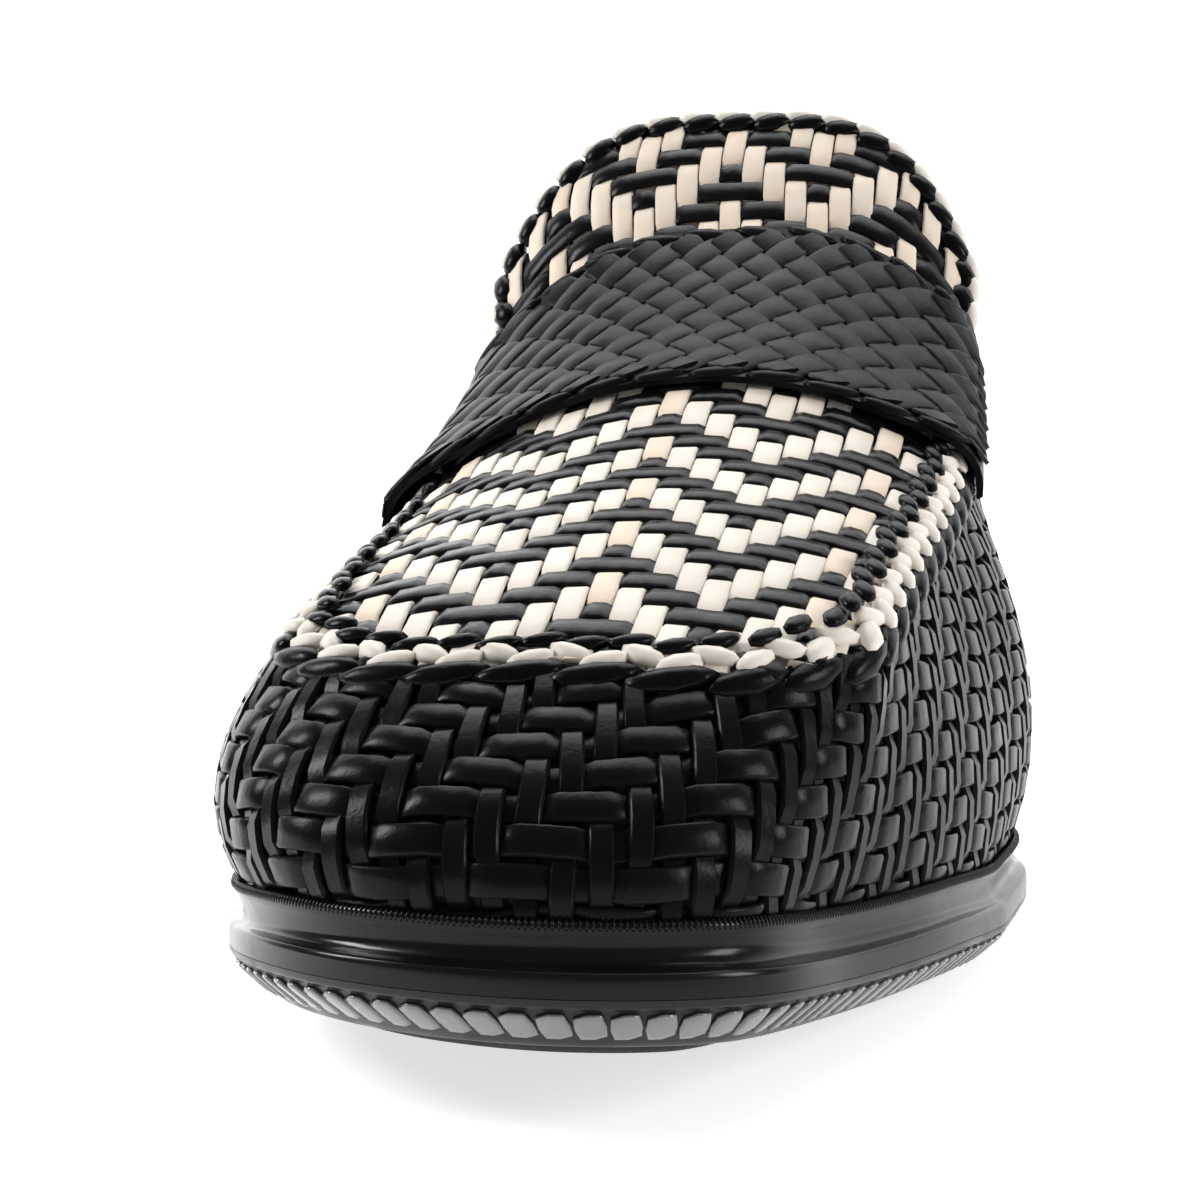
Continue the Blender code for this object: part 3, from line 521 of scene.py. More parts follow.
class Saddle:
    """Surface under the saddle strap: p runs from lateral to medial, q from front to back."""

    ACROSS = 80
    ALONG = 24
    SOFTENING = 3

    def __init__(self, wall):
        across = np.linspace(0, 1, SECTION_FINE)
        self.half = run_length(apron_point(across, np.full(SECTION_FINE, STRAP_FRONT)))[-1]
        self.lateral = self.half + STRAP_DROP_LATERAL
        self.medial = self.half + STRAP_DROP_MEDIAL
        columns = np.arange(len(wall.heights)) / 2
        tops = wall.controls[:, 3]
        front = tops[:, 1] < SOLE_LENGTH / 2 - JOIN_FROM_HEEL
        grid = []
        for share in np.linspace(-1, 1, self.ACROSS + 1):
            side = 1 if share > 0 else -1
            reach = abs(share) * (self.medial if side > 0 else self.lateral)
            narrow = STRAP_END_NARROWING * share ** 2
            along = np.linspace(0, 1, self.ALONG + 1)
            from_heel = STRAP_FRONT - narrow - along * (STRAP_WIDTH - 2 * narrow)
            if reach <= self.half:
                grid.append(apron_point(np.full(len(along), side * reach / self.half), from_heel))
                continue
            on_side = front & ((tops[:, 0] > 0) == (side > 0))
            order = np.argsort(tops[on_side, 1])
            u = np.interp(SOLE_LENGTH / 2 - from_heel, tops[on_side, 1][order], columns[on_side][order])
            grid.append(wall.at(u, wall.height(u) - (reach - self.half))[0])
        grid = np.array(grid)
        for _ in range(self.SOFTENING):
            grid[1:-1] = grid[1:-1] * 0.5 + (grid[2:] + grid[:-2]) * 0.25
        self.sheet = Sheet(grid, from_inside)

    def at(self, p, q):
        """Points and normals at lengths p over the instep and q along it."""
        share = np.where(p > 0, p / self.medial, p / self.lateral)
        return self.sheet.at((share + 1) / 2 * self.ACROSS, q / STRAP_WIDTH * self.ALONG)

    def clear(self, p):
        """Height of the strap's underside over the surface."""
        over_rim = np.exp(-((np.abs(p) - self.half) / STRAP_RIM_SPREAD) ** 2)
        return WEAVE_RELIEF + STRAP_CLEAR + STRAP_RIM_LIFT * over_rim


# Meshes

class Strips:
    """Plaited strips gathered into one mesh, each a closed ribbon with a rounded section."""

    def __init__(self):
        self.points, self.faces, self.tint, self.along, self.across = [], [], [], [], []
        self.count = 0

    def add(self, path, normal, lift, half_width, half_thick, tint, edges=None):
        """One strip along a path on a surface, raised over it by lift; edges bend it across its width."""
        side = unit(np.cross(np.gradient(path, axis=0), normal))
        raised = path + normal * np.asarray(lift)[:, None]
        rise = unit(np.cross(side, np.gradient(raised, axis=0)))
        wide = np.broadcast_to(half_width, len(path))[:, None]
        left, right = edges or (raised - side * wide, raised + side * wide)
        if ((right - left) * side).sum() < 0:
            left, right = right, left
        across = STRIP_SECTION[None, :, 0, None]
        rings = (raised[:, None] + across * (right - left)[:, None] / 2
                 + across ** 2 * ((right + left) / 2 - raised)[:, None]
                 + rise[:, None] * STRIP_SECTION[None, :, 1, None] * half_thick)
        n, m = rings.shape[:2]
        i, k = np.meshgrid(np.arange(n - 1), np.arange(m), indexing="ij")
        near = self.count + i * m + k
        next_k = self.count + i * m + (k + 1) % m
        quads = np.stack([near, next_k, next_k + m, near + m], axis=-1).reshape(-1, 4)
        self.faces.extend(quads.tolist())
        self.faces.append(list(range(self.count + m - 1, self.count - 1, -1)))
        self.faces.append(list(range(self.count + (n - 1) * m, self.count + n * m)))
        self.points.append(rings.reshape(-1, 3))
        self.tint.append(np.repeat(np.broadcast_to(tint, n), m))
        self.along.append(np.repeat(run_length(raised), m))
        self.across.append(np.tile(STRIP_SECTION[:, 0], n))
        self.count += n * m

    def build(self, name):
        """The gathered strips as an object."""
        obj = mesh_object(name, np.concatenate(self.points), self.faces, turn=False, sharp=STRIP_CREASE)
        for key, values in (("tint", self.tint), ("along", self.along), ("across", self.across)):
            layer = obj.data.attributes.new(key, "FLOAT", "POINT")
            layer.data.foreach_set("value", np.concatenate(values).astype(np.float32))
        return obj


def mesh_object(name, points, faces, turn=True, sharp=None):
    """Object of a mesh given by its points and faces, smooth, with faces turned outwards."""
    mesh = bpy.data.meshes.new(name)
    mesh.from_pydata(np.asarray(points).tolist(), [], [list(map(int, f)) for f in faces])
    if turn:
        bm = bmesh.new()
        bm.from_mesh(mesh)
        bmesh.ops.recalc_face_normals(bm, faces=bm.faces)
        bm.to_mesh(mesh)
        bm.free()
    mesh.shade_smooth()
    if sharp:
        mesh.set_sharp_from_angle(angle=math.radians(sharp))
    obj = bpy.data.objects.new(name, mesh)
    bpy.context.scene.collection.objects.link(obj)
    return obj


def sweep(lines, ends=True):
    """Faces of a closed section carried along an open path; lines are (section points, stations, 3)."""
    m, n = lines.shape[:2]
    index = np.arange(m * n).reshape(m, n)
    faces = []
    for k in range(m):
        a, b = index[k], index[(k + 1) % m]
        faces.extend([a[i], a[i + 1], b[i + 1], b[i]] for i in range(n - 1))
    if ends:
        faces.append(list(index[:, 0]))
        faces.append(list(index[:, -1]))
    return lines.reshape(-1, 3), faces


def rounds(lines, bottom=True, top=True, open_ends=False):
    """Faces of full rounds stacked up, capped by strips across paired sides."""
    m, n = lines.shape[:2]
    index = np.arange(m * n).reshape(m, n)
    faces = []
    for low, high in zip(index, index[1:]):
        faces.extend([low[k], low[(k + 1) % n], high[(k + 1) % n], high[k]] for k in range(n))
    for wanted, ring in ((bottom, index[0]), (top, index[-1])):
        if not wanted:
            continue
        for k in range(n // 2):
            if open_ends:
                quad = [ring[k], ring[k + 1], ring[n - k - 2], ring[n - k - 1]]
            else:
                quad = [ring[k], ring[k + 1], ring[(n - k - 1) % n], ring[(n - k) % n]]
            quad = [v for i, v in enumerate(quad) if v not in quad[:i]]
            if len(quad) > 2:
                faces.append(quad)
    return lines.reshape(-1, 3), faces


def two_skins(first, second):
    """Points and faces of a closed sheet between two grids of points."""
    rows, columns = first.shape[:2]
    far = rows * columns
    index = np.arange(far).reshape(rows, columns)
    faces = []
    for i in (index, index + far):
        quads = np.stack([i[:-1, :-1], i[:-1, 1:], i[1:, 1:], i[1:, :-1]], -1)
        faces.extend(quads.reshape(-1, 4).tolist())
    edge = np.concatenate([index[0, :], index[1:, -1], index[-1, -2::-1], index[-2:0:-1, 0]])
    faces.extend([edge[k], edge[k - 1], edge[k - 1] + far, edge[k] + far] for k in range(len(edge)))
    return np.concatenate([first.reshape(-1, 3), second.reshape(-1, 3)]), faces


def weave_lift(over, cells):
    """Sample places along a strip, in cells, and its height from -1 under to 1 over."""
    side = np.where(over, 1.0, -1.0)
    at, lift = [], []
    for k in range(cells):
        before = side[k - 1] if k else side[0]
        edge = (before + side[k]) / 2
        for f in CELL_SAMPLES:
            at.append(k + f)
            lift.append(edge * FLOAT_CROWN if f == 0 else side[k])
    at.append(cells)
    lift.append(side[cells - 1])
    return np.array(at), np.array(lift)


def cut_run(at, lift, start, end):
    """Samples kept between two ends, with samples at the ends themselves."""
    kept = (at > start + CUT_CLEAR) & (at < end - CUT_CLEAR)
    places = np.concatenate([[start], at[kept], [end]])
    return places, np.interp(places, at, lift)


def open_runs(at, free):
    """Starts and ends of the stretches where a strip round the wall has room."""
    change = np.flatnonzero(np.diff(np.concatenate([[0], free.astype(int), [0]])))
    return [(at[a], at[b - 1]) for a, b in zip(change[::2], change[1::2]) if at[b - 1] - at[a] > 1]


def show(obj, finish, replaced=()):
    """Give a finished piece its finish, by name, and parent it to the body's empty."""
    obj.data.materials.clear()
    obj.data.materials.append(finish_named(finish))
    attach(obj, BODY)
    if replaced:
        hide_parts(*replaced)


# Node trees

class Nodes:
    """Nodes of one tree, each added with its settings and with what feeds its sockets."""

    def __init__(self, tree):
        self.tree = tree

    def feed(self, socket, value):
        """Link a socket to another node's output, or set it to a plain value."""
        if isinstance(value, bpy.types.NodeSocket):
            self.tree.links.new(value, socket)
        else:
            socket.default_value = value

    def add(self, kind, feeds=None, **settings):
        """One node; feeds maps its sockets to values or outputs."""
        made = self.tree.nodes.new(kind)
        for key, value in settings.items():
            setattr(made, key, value)
        for key, value in (feeds or {}).items():
            self.feed(made.inputs[key], value)
        return made

    def maths(self, operation, first, second=0.0):
        """Result of an operation on two values."""
        return self.add("ShaderNodeMath", {0: first, 1: second}, operation=operation).outputs[0]


# Repeated lumps

LUMP_INPUTS = (
    ("Count", "NodeSocketInt", 40),
    ("Length", "NodeSocketFloat", 6 * MM),
    ("Width", "NodeSocketFloat", 3 * MM),
    ("Height", "NodeSocketFloat", 2 * MM),
    ("Shape", "NodeSocketVector", (1.0, 1.0, 1.0)),
    ("Slant", "NodeSocketFloat", 0.0),
    ("Sway", "NodeSocketFloat", 0.0),
    ("Every", "NodeSocketInt", 1),
    ("First", "NodeSocketInt", 0),
    ("Segments", "NodeSocketInt", 8),
    ("Rings", "NodeSocketInt", 6),
    ("Material", "NodeSocketMaterial", None),
)
PICK_MARGIN = 0.1
SMALL_LUMP = {"Segments": 6, "Rings": 4}


def lump_tree():
    """Nodes that set lumps along a line, each standing on the line's stored normal.

    Shape holds a power for each axis of a lump: under 1 makes it boxier along that axis,
    over 1 in width makes its two ends pointed.
    """
    name = "Lumps along a line"
    if name in bpy.data.node_groups:
        return bpy.data.node_groups[name]
    tree = bpy.data.node_groups.new(name, "GeometryNodeTree")
    tree.interface.new_socket("Geometry", in_out="INPUT", socket_type="NodeSocketGeometry")
    for label, kind, default in LUMP_INPUTS:
        socket = tree.interface.new_socket(label, in_out="INPUT", socket_type=kind)
        if default is not None:
            socket.default_value = default
    tree.interface.new_socket("Geometry", in_out="OUTPUT", socket_type="NodeSocketGeometry")
    net = Nodes(tree)
    given = net.add("NodeGroupInput").outputs

    curve = net.add("GeometryNodeMeshToCurve", {"Mesh": given["Geometry"]})
    points = net.add("GeometryNodeResampleCurve", {"Curve": curve.outputs["Curve"], "Count": given["Count"]})
    index = net.add("GeometryNodeInputIndex").outputs[0]
    turn = net.maths("MODULO", index, given["Every"])
    pick = net.add("FunctionNodeCompare", {0: turn, 1: given["First"], "Epsilon": PICK_MARGIN},
                   data_type="FLOAT", operation="EQUAL")

    stored = net.add("GeometryNodeInputNamedAttribute", {"Name": "stand"}, data_type="FLOAT_VECTOR")
    normal = stored.outputs["Attribute"]
    tangent = net.add("GeometryNodeInputTangent").outputs[0]
    upright = net.add("FunctionNodeAlignRotationToVector", {"Vector": normal}, axis="Z")
    along = net.add("FunctionNodeAlignRotationToVector",
                    {"Rotation": upright.outputs["Rotation"], "Vector": tangent}, axis="X", pivot_axis="Z")

    odd = net.maths("MODULO", index, 2.0)
    swing = net.maths("SUBTRACT", net.maths("MULTIPLY", odd, 2.0), 1.0)
    sway = net.maths("MULTIPLY", swing, given["Sway"])
    across = net.add("ShaderNodeVectorMath", {0: tangent, 1: normal}, operation="CROSS_PRODUCT")
    shift = net.add("ShaderNodeVectorMath", {0: across.outputs[0], "Scale": sway}, operation="SCALE")
    moved = net.add("GeometryNodeSetPosition",
                    {"Geometry": points.outputs["Curve"], "Offset": shift.outputs[0]})

    ball = net.add("GeometryNodeMeshUVSphere",
                   {"Radius": 0.5, "Segments": given["Segments"], "Rings": given["Rings"]})
    corner = net.add("ShaderNodeSeparateXYZ", {0: net.add("GeometryNodeInputPosition").outputs[0]})
    powers = net.add("ShaderNodeSeparateXYZ", {0: given["Shape"]})
    bent = net.add("ShaderNodeCombineXYZ")
    for axis in range(3):
        reach = net.maths("ABSOLUTE", net.maths("MULTIPLY", corner.outputs[axis], 2.0))
        reach = net.maths("MULTIPLY", net.maths("POWER", reach, powers.outputs[axis]), 0.5)
        signed = net.maths("MULTIPLY", reach, net.maths("SIGN", corner.outputs[axis]))
        net.feed(bent.inputs[axis], signed)
    shaped = net.add("GeometryNodeSetPosition",
                     {"Geometry": ball.outputs["Mesh"], "Position": bent.outputs[0]})
    extent = net.add("ShaderNodeCombineXYZ", {0: given["Length"], 1: given["Width"], 2: given["Height"]})
    lens = net.add("GeometryNodeTransform",
                   {"Geometry": shaped.outputs["Geometry"], "Scale": extent.outputs[0]})
    angle = net.add("ShaderNodeCombineXYZ", {2: given["Slant"]})
    turned = net.add("GeometryNodeTransform",
                     {"Geometry": lens.outputs["Geometry"], "Rotation": angle.outputs[0]})

    placed = net.add("GeometryNodeInstanceOnPoints", {
        "Points": moved.outputs["Geometry"], "Selection": pick.outputs[0],
        "Instance": turned.outputs["Geometry"], "Rotation": along.outputs["Rotation"],
    })
    real = net.add("GeometryNodeRealizeInstances", {"Geometry": placed.outputs["Instances"]})
    soft = net.add("GeometryNodeSetShadeSmooth", {"Geometry": real.outputs["Geometry"]})
    dressed = net.add("GeometryNodeSetMaterial",
                      {"Geometry": soft.outputs["Geometry"], "Material": given["Material"]})
    net.add("NodeGroupOutput", {"Geometry": dressed.outputs["Geometry"]})
    return tree


def lumps(name, path, stand, finish, **settings):
    """Piece of lumps along a path with given outward normals."""
    mesh = bpy.data.meshes.new(name + "_path")
    mesh.from_pydata(np.asarray(path).tolist(), [(k, k + 1) for k in range(len(path) - 1)], [])
    layer = mesh.attributes.new("stand", "FLOAT_VECTOR", "POINT")
    layer.data.foreach_set("vector", np.asarray(stand, np.float32).ravel())
    obj = bpy.data.objects.new(name, mesh)
    bpy.context.scene.collection.objects.link(obj)
    modifier = obj.modifiers.new("lumps", "NODES")
    modifier.node_group = lump_tree()
    values = dict(settings, Material=finish_named(finish))
    for item in modifier.node_group.interface.items_tree:
        if item.item_type == "SOCKET" and item.in_out == "INPUT" and item.name in values:
            modifier[item.identifier] = values[item.name]
    graph = bpy.context.evaluated_depsgraph_get()
    made = bpy.data.meshes.new_from_object(obj.evaluated_get(graph))
    obj.modifiers.remove(modifier)
    obj.data = made
    made.name = name
    bpy.data.meshes.remove(mesh)
    if not made.polygons:
        raise RuntimeError(name + " has no faces")
    return obj


def lump_row(name, path, stand, finish, pitch, lump, **settings):
    """As many lumps of one length, width and height as a pitch leaves room for on a path."""
    length, width, height = lump
    count = int(run_length(path)[-1] / pitch)
    return lumps(name, path, stand, finish, Count=count, Length=length, Width=width, Height=height,
                 **settings)


# Finishes

# Leathers: roughness, its unevenness, scale of the grain per metre and shine
Hide = namedtuple("Hide", "roughness uneven grain shine")
BLACK_HIDE = Hide(0.26, 0.06, 1400.0, 0.09)
IVORY_HIDE = Hide(0.5, 0.06, 1500.0, 0.3)
IVORY_BRAID_HIDE = Hide(0.5, 0.06, 1500.0, 0.5)
STRAP_HIDE = Hide(0.34, 0.05, 1600.0, 0.065)
LINING_HIDE = Hide(0.7, 0.06, 1100.0, 0.5)
INSOLE_HIDE = Hide(0.5, 0.08, 900.0, 0.5)

# Waxed edges: roughness, shine and weight of the wax
Burnish = namedtuple("Burnish", "roughness shine coat")
WELT_BURNISH = Burnish(0.2, 0.14, 0.08)
SOLE_BURNISH = Burnish(0.3, 0.2, 0.1)
RIB_BURNISH = Burnish(0.24, 0.5, 0.8)
COAT_ROUGHNESS = 0.08
BURNISH_RANGE = (0.7, 1.4)

# Factors that make a colour its darkest and lightest patches, its worn tone, or the ribs' painted reflection
LEATHER_PATCHES = (0.85, 1.15)
EDGE_PATCHES = (0.8, 1.3)
RUBBER_PATCHES = (0.9, 2.2)
STEEL_PATCHES = (0.7, 1.2)
PAPER_PATCHES = (0.985, 1.0)
STRIP_PALER = 1.5
# The ribs' black leather is made far paler than the sole: a painted reflection of the bright floor
RIB_PAINTED_REFLECTION = 14.0
IVORY_WORN = 0.8
LINING_WORN = 1.8
INSOLE_WORN = 1.3

# Wear: how much at most, and the range of a pattern or edge over which it comes in
OWN_TINT = (0.75, 0.0, 1.0)
RUBBED_EDGE = (0.55, 0.7, 1.0)
RUBBED_GRAIN = (0.35, 0.5, 0.75)
DUST = (1.0, 0.45, 0.75)

TREAD_ROUGHNESS = 0.6
TREAD_UNEVEN = 0.1
TREAD_STIPPLE = 900.0
STEEL_ROUGHNESS = 0.4
STEEL_SMOOTHER = 0.1
STEEL_ROUGHER = 0.15
PAPER_ROUGHNESS = 0.75

# Noise patterns: scale per metre and detail
Pattern = namedtuple("Pattern", "scale detail")
LEATHER_CLOUDS = Pattern(60.0, 3.0)
LEATHER_DENTS = Pattern(220.0, 3.0)
EDGE_CLOUDS = Pattern(45.0, 4.0)
EDGE_SMEARS = Pattern(160.0, 4.0)
EDGE_LAYERS = Pattern(90.0, 2.0)
EDGE_PORES = Pattern(900.0, 3.0)
RUBBER_DUST = Pattern(70.0, 5.0)
RUBBER_PORES = Pattern(1200.0, 3.0)
STEEL_WEAR = Pattern(1500.0, 4.0)
PAPER_CLOUDS = Pattern(35.0, 4.0)
PAPER_TOOTH = Pattern(600.0, 2.0)
LAYER_STRETCH = (0.25, 0.25, 6.0)
STIPPLE_RANDOM = 0.35
GRAIN_DETAIL = 5.0
GRAIN_ROUGH = 0.6

# Relief: depth and strength of a bump
Relief = namedtuple("Relief", "depth strength")
GRAIN_RELIEF = Relief(0.12 * MM, 0.35)
DENT_RELIEF = Relief(0.3 * MM, 0.2)
LAYER_RELIEF = Relief(0.15 * MM, 0.25)
PORE_RELIEF = Relief(0.05 * MM, 0.2)
STIPPLE_RELIEF = Relief(0.35 * MM, 0.6)
RUBBER_RELIEF = Relief(0.05 * MM, 0.25)
STEEL_RELIEF = Relief(0.05 * MM, 0.3)
PAPER_RELIEF = Relief(0.05 * MM, 0.1)


def shade(colour, factor):
    """Colour made lighter or darker."""
    return (*[min(1.0, c * factor) for c in colour[:3]], 1.0)


class Finish(Nodes):
    """Nodes of one procedural finish, laid out on the piece's own coordinates."""

    def __init__(self, name):
        self.material = bpy.data.materials.new(name)
        self.material.use_nodes = True
        super().__init__(self.material.node_tree)
        self.shader = self.tree.nodes["Principled BSDF"]
        self.place = self.add("ShaderNodeTexCoord").outputs["Object"]

    def dress(self, feeds):
        """Values and outputs for sockets of the shader."""
        for key, value in feeds.items():
            self.feed(self.shader.inputs[key], value)

    def mix(self, factor, low, high):
        """Colour that runs between two colours by a factor."""
        feeds = {"Factor": factor, "A": low, "B": high}
        return self.add("ShaderNodeMix", feeds, data_type="RGBA").outputs["Result"]

    def patches(self, factor, colour, factors):
        """Colour that runs between its darkest and lightest patches."""
        return self.mix(factor, *(shade(colour, f) for f in factors))

    def noise(self, scale, detail, rough=0.5, vector=None):
        """Value of a noise pattern."""
        feeds = {"Vector": vector or self.place, "Scale": scale, "Detail": detail, "Roughness": rough}
        return self.add("ShaderNodeTexNoise", feeds).outputs["Fac"]

    def spread(self, value, low, high, from_low=0.3, from_high=0.7):
        """Value carried from one range to another."""
        feeds = {"Value": value, "From Min": from_low, "From Max": from_high, "To Min": low, "To Max": high}
        return self.add("ShaderNodeMapRange", feeds).outputs["Result"]

    def stored(self, name):
        """Value that the mesh keeps under a name."""
        return self.add("ShaderNodeAttribute", attribute_name=name).outputs["Fac"]

    def emboss(self, *layers):
        """Chain of bumps on the shader, each a value and its relief."""
        feeds = {}
        for value, relief in layers:
            feeds.update({"Height": value, "Distance": relief.depth, "Strength": relief.strength})
            feeds["Normal"] = self.add("ShaderNodeBump", feeds).outputs["Normal"]
        self.dress({"Normal": feeds["Normal"]})


def leather(name, colour, pale, hide, strips=False, warm=None):
    """Leather with grain, uneven polish and a little wear; strips adds each strip's own tint."""
    made = Finish(name)
    cloud = made.noise(*LEATHER_CLOUDS)
    fine = made.noise(hide.grain, GRAIN_DETAIL, GRAIN_ROUGH)
    body = made.patches(made.spread(cloud, 0.0, 1.0), colour, LEATHER_PATCHES)
    if strips:
        own = made.spread(made.stored("tint"), 0.0, *OWN_TINT)
        body = made.mix(own, body, warm or shade(colour, STRIP_PALER))
        rubbed = made.spread(made.maths("ABSOLUTE", made.stored("across")), 0.0, *RUBBED_EDGE)
    else:
        rubbed = made.spread(fine, 0.0, *RUBBED_GRAIN)
    made.dress({
        "Base Color": made.mix(rubbed, body, pale),
        "Roughness": made.spread(cloud, hide.roughness - hide.uneven, hide.roughness + hide.uneven),
        "Specular IOR Level": hide.shine,
    })
    made.emboss((fine, GRAIN_RELIEF), (made.noise(*LEATHER_DENTS), DENT_RELIEF))
    return made.material


def polished_edge(name, colour, burnish):
    """Waxed and burnished edge leather with faint lengthwise waves."""
    made = Finish(name)
    cloud = made.spread(made.noise(*EDGE_CLOUDS), 0.0, 1.0)
    smears = made.noise(*EDGE_SMEARS)
    made.dress({
        "Base Color": made.patches(cloud, colour, EDGE_PATCHES),
        "Roughness": made.spread(smears, *(burnish.roughness * f for f in BURNISH_RANGE)),
        "Specular IOR Level": burnish.shine,
        "Coat Weight": burnish.coat,
        "Coat Roughness": COAT_ROUGHNESS,
    })
    flat = made.add("ShaderNodeMapping", {"Vector": made.place, "Scale": LAYER_STRETCH}).outputs["Vector"]
    layers = made.noise(*EDGE_LAYERS, vector=flat)
    made.emboss((layers, LAYER_RELIEF), (made.noise(*EDGE_PORES), PORE_RELIEF))
    return made.material


def rubber(name, colour, roughness, stipple):
    """Matt rubber with a fine stippled texture and patches of dust."""
    made = Finish(name)
    cells = made.add("ShaderNodeTexVoronoi",
                     {"Vector": made.place, "Scale": stipple, "Randomness": STIPPLE_RANDOM})
    dust = made.noise(*RUBBER_DUST)
    dusty = made.spread(dust, 0.0, *DUST)
    made.dress({
        "Base Color": made.patches(dusty, colour, RUBBER_PATCHES),
        "Roughness": made.spread(dust, roughness - TREAD_UNEVEN, roughness + TREAD_UNEVEN),
    })
    made.emboss((cells.outputs["Distance"], STIPPLE_RELIEF), (made.noise(*RUBBER_PORES), RUBBER_RELIEF))
    return made.material


def metal(name, colour, roughness):
    """Worn steel of the heel's nails."""
    made = Finish(name)
    wear = made.noise(*STEEL_WEAR)
    made.dress({
        "Base Color": made.patches(wear, colour, STEEL_PATCHES),
        "Roughness": made.spread(wear, roughness - STEEL_SMOOTHER, roughness + STEEL_ROUGHER),
        "Metallic": 1.0,
    })
    made.emboss((wear, STEEL_RELIEF))
    return made.material


def paper(name, colour):
    """Finish of matt pale paper that is lit through."""
    made = Finish(name)
    made.dress({
        "Base Color": made.patches(made.noise(*PAPER_CLOUDS), colour, PAPER_PATCHES),
        "Roughness": PAPER_ROUGHNESS,
        "Emission Color": shade(colour, 1.0),
    })
    made.emboss((made.noise(*PAPER_TOOTH), PAPER_RELIEF))
    return made


def floor_paper(name, colour, near, far, reach):
    """Floor paper that is lit through from below, more so away from the shoe."""
    made = paper(name, colour)
    away = made.add("ShaderNodeVectorMath", {0: made.place}, operation="LENGTH").outputs["Value"]
    made.dress({"Emission Strength": made.spread(away, near, far, *reach)})
    return made.material


def card_paper(name, colour, bright, dim, front, side):
    """Paper of the bounce card, dark in front of the shoe and dimmer to the medial side."""
    made = paper(name, colour)
    parts = made.add("ShaderNodeSeparateXYZ", {0: made.place}).outputs
    ahead = made.spread(parts["Y"], 0.0, 1.0, *front)
    beside = made.spread(parts["X"], bright, dim, *side)
    made.dress({"Emission Strength": made.maths("MULTIPLY", ahead, beside)})
    return made.material


# Settings

def length_of(name, description, default):
    """Length setting."""
    return FloatProperty(name=name, description=description, default=default, unit="LENGTH", precision=5)


def count_of(name, description, default):
    """Count setting."""
    return IntProperty(name=name, description=description, default=default, min=5)


def share_of(name, description, default):
    """Setting that is a share of something."""
    return FloatProperty(name=name, description=description, default=default, subtype="FACTOR",
                         min=0.3, max=1.2)


def colour_of(name, description, default):
    """Colour setting."""
    return FloatVectorProperty(name=name, description=description, default=default, subtype="COLOR",
                               min=0.0, max=1.0)


class LOAFER_PG_sizes(bpy.types.PropertyGroup):
    """Sizes of the plaiting, braids and sole."""

    front_columns: count_of("Front columns", "Upright strips round the toe", 116)
    rear_columns: count_of("Rear columns", "Upright strips round the heel", 76)
    wall_row: length_of("Wall row", "Pitch of the strips round the wall", 3.7 * MM)
    wall_start: length_of("First row", "Height of the lowest row over the feather line", 0.9 * MM)
    upright_fill: share_of("Upright width", "Width of an upright strip as a share of its pitch", 0.74)
    round_fill: share_of("Round width", "Width of a round strip as a share of its pitch", 0.86)
    strip_thick: length_of("Strip thickness", "Thickness of a plaited strip", 0.75 * MM)
    weave_swing: length_of("Weave swing", "How far a strip moves over and under", 0.42 * MM)
    weave_level: length_of("Weave level", "Middle of the plaiting over the wall's surface", 0.15 * MM)
    apron_columns: count_of("Apron columns", "Ivory strips across the apron", 21)
    apron_row: length_of("Apron row", "Pitch of the black strips across the apron", 4.4 * MM)
    apron_start: length_of("Apron start", "Offset of the first apron row from the rim", 1.8 * MM)
    ivory_fill: share_of("Ivory width", "Width of an ivory strip as a share of its pitch", 0.97)
    cross_fill: share_of("Cross width", "Width of a black cross strip as a share of its pitch", 0.86)
    strap_strip: length_of("Strap strip", "Pitch of the strap's bias strips", 4.7 * MM)
    strap_fill: share_of("Strap strip width", "Width of a bias strip as a share of its pitch", 0.93)
    rib_pitch: length_of("Rib pitch", "Pitch of the ribs under the sole's edge", 3.2 * MM)
    tooth_pitch: length_of("Welt tooth pitch", "Pitch of the fine teeth on the welt's lip", 0.6 * MM)
    lens: FloatProperty(name="Lens", description="Focal length of the camera", default=78 * MM,
                        unit="CAMERA", precision=4)


class LOAFER_PG_colours(bpy.types.PropertyGroup):
    """Colours of the leathers, rubber and floor."""

    black: colour_of("Black leather", "Plaited strips of the wall and braids", (0.0035, 0.0034, 0.0036))
    black_worn: colour_of("Rubbed black", "Rubbed edges of the black strips", (0.012, 0.0115, 0.0115))
    ivory: colour_of("Ivory leather", "Lengthwise strips of the apron", (0.87, 0.81, 0.72))
    ivory_warm: colour_of("Warm ivory", "Strips that have yellowed", (0.87, 0.67, 0.49))
    strap: colour_of("Strap leather", "Bias strips of the saddle strap", (0.008, 0.0078, 0.0081))
    welt: colour_of("Welt", "Waxed welt and rand", (0.006, 0.006, 0.006))
    sole: colour_of("Sole", "Outsole and heel", (0.012, 0.0115, 0.0115))
    tread: colour_of("Tread", "Rubber tread and heel tip", (0.020, 0.020, 0.021))
    lining: colour_of("Lining", "Inside of the upper", (0.020, 0.018, 0.017))
    insole: colour_of("Insole", "Leather insole", (0.30, 0.18, 0.10))
    steel: colour_of("Nails", "Heel nails", (0.45, 0.43, 0.40))
    floor: colour_of("Floor", "Studio floor", (0.94, 0.94, 0.94))


def sizes():
    """The sizes in use."""
    return bpy.context.scene.loafer_sizes


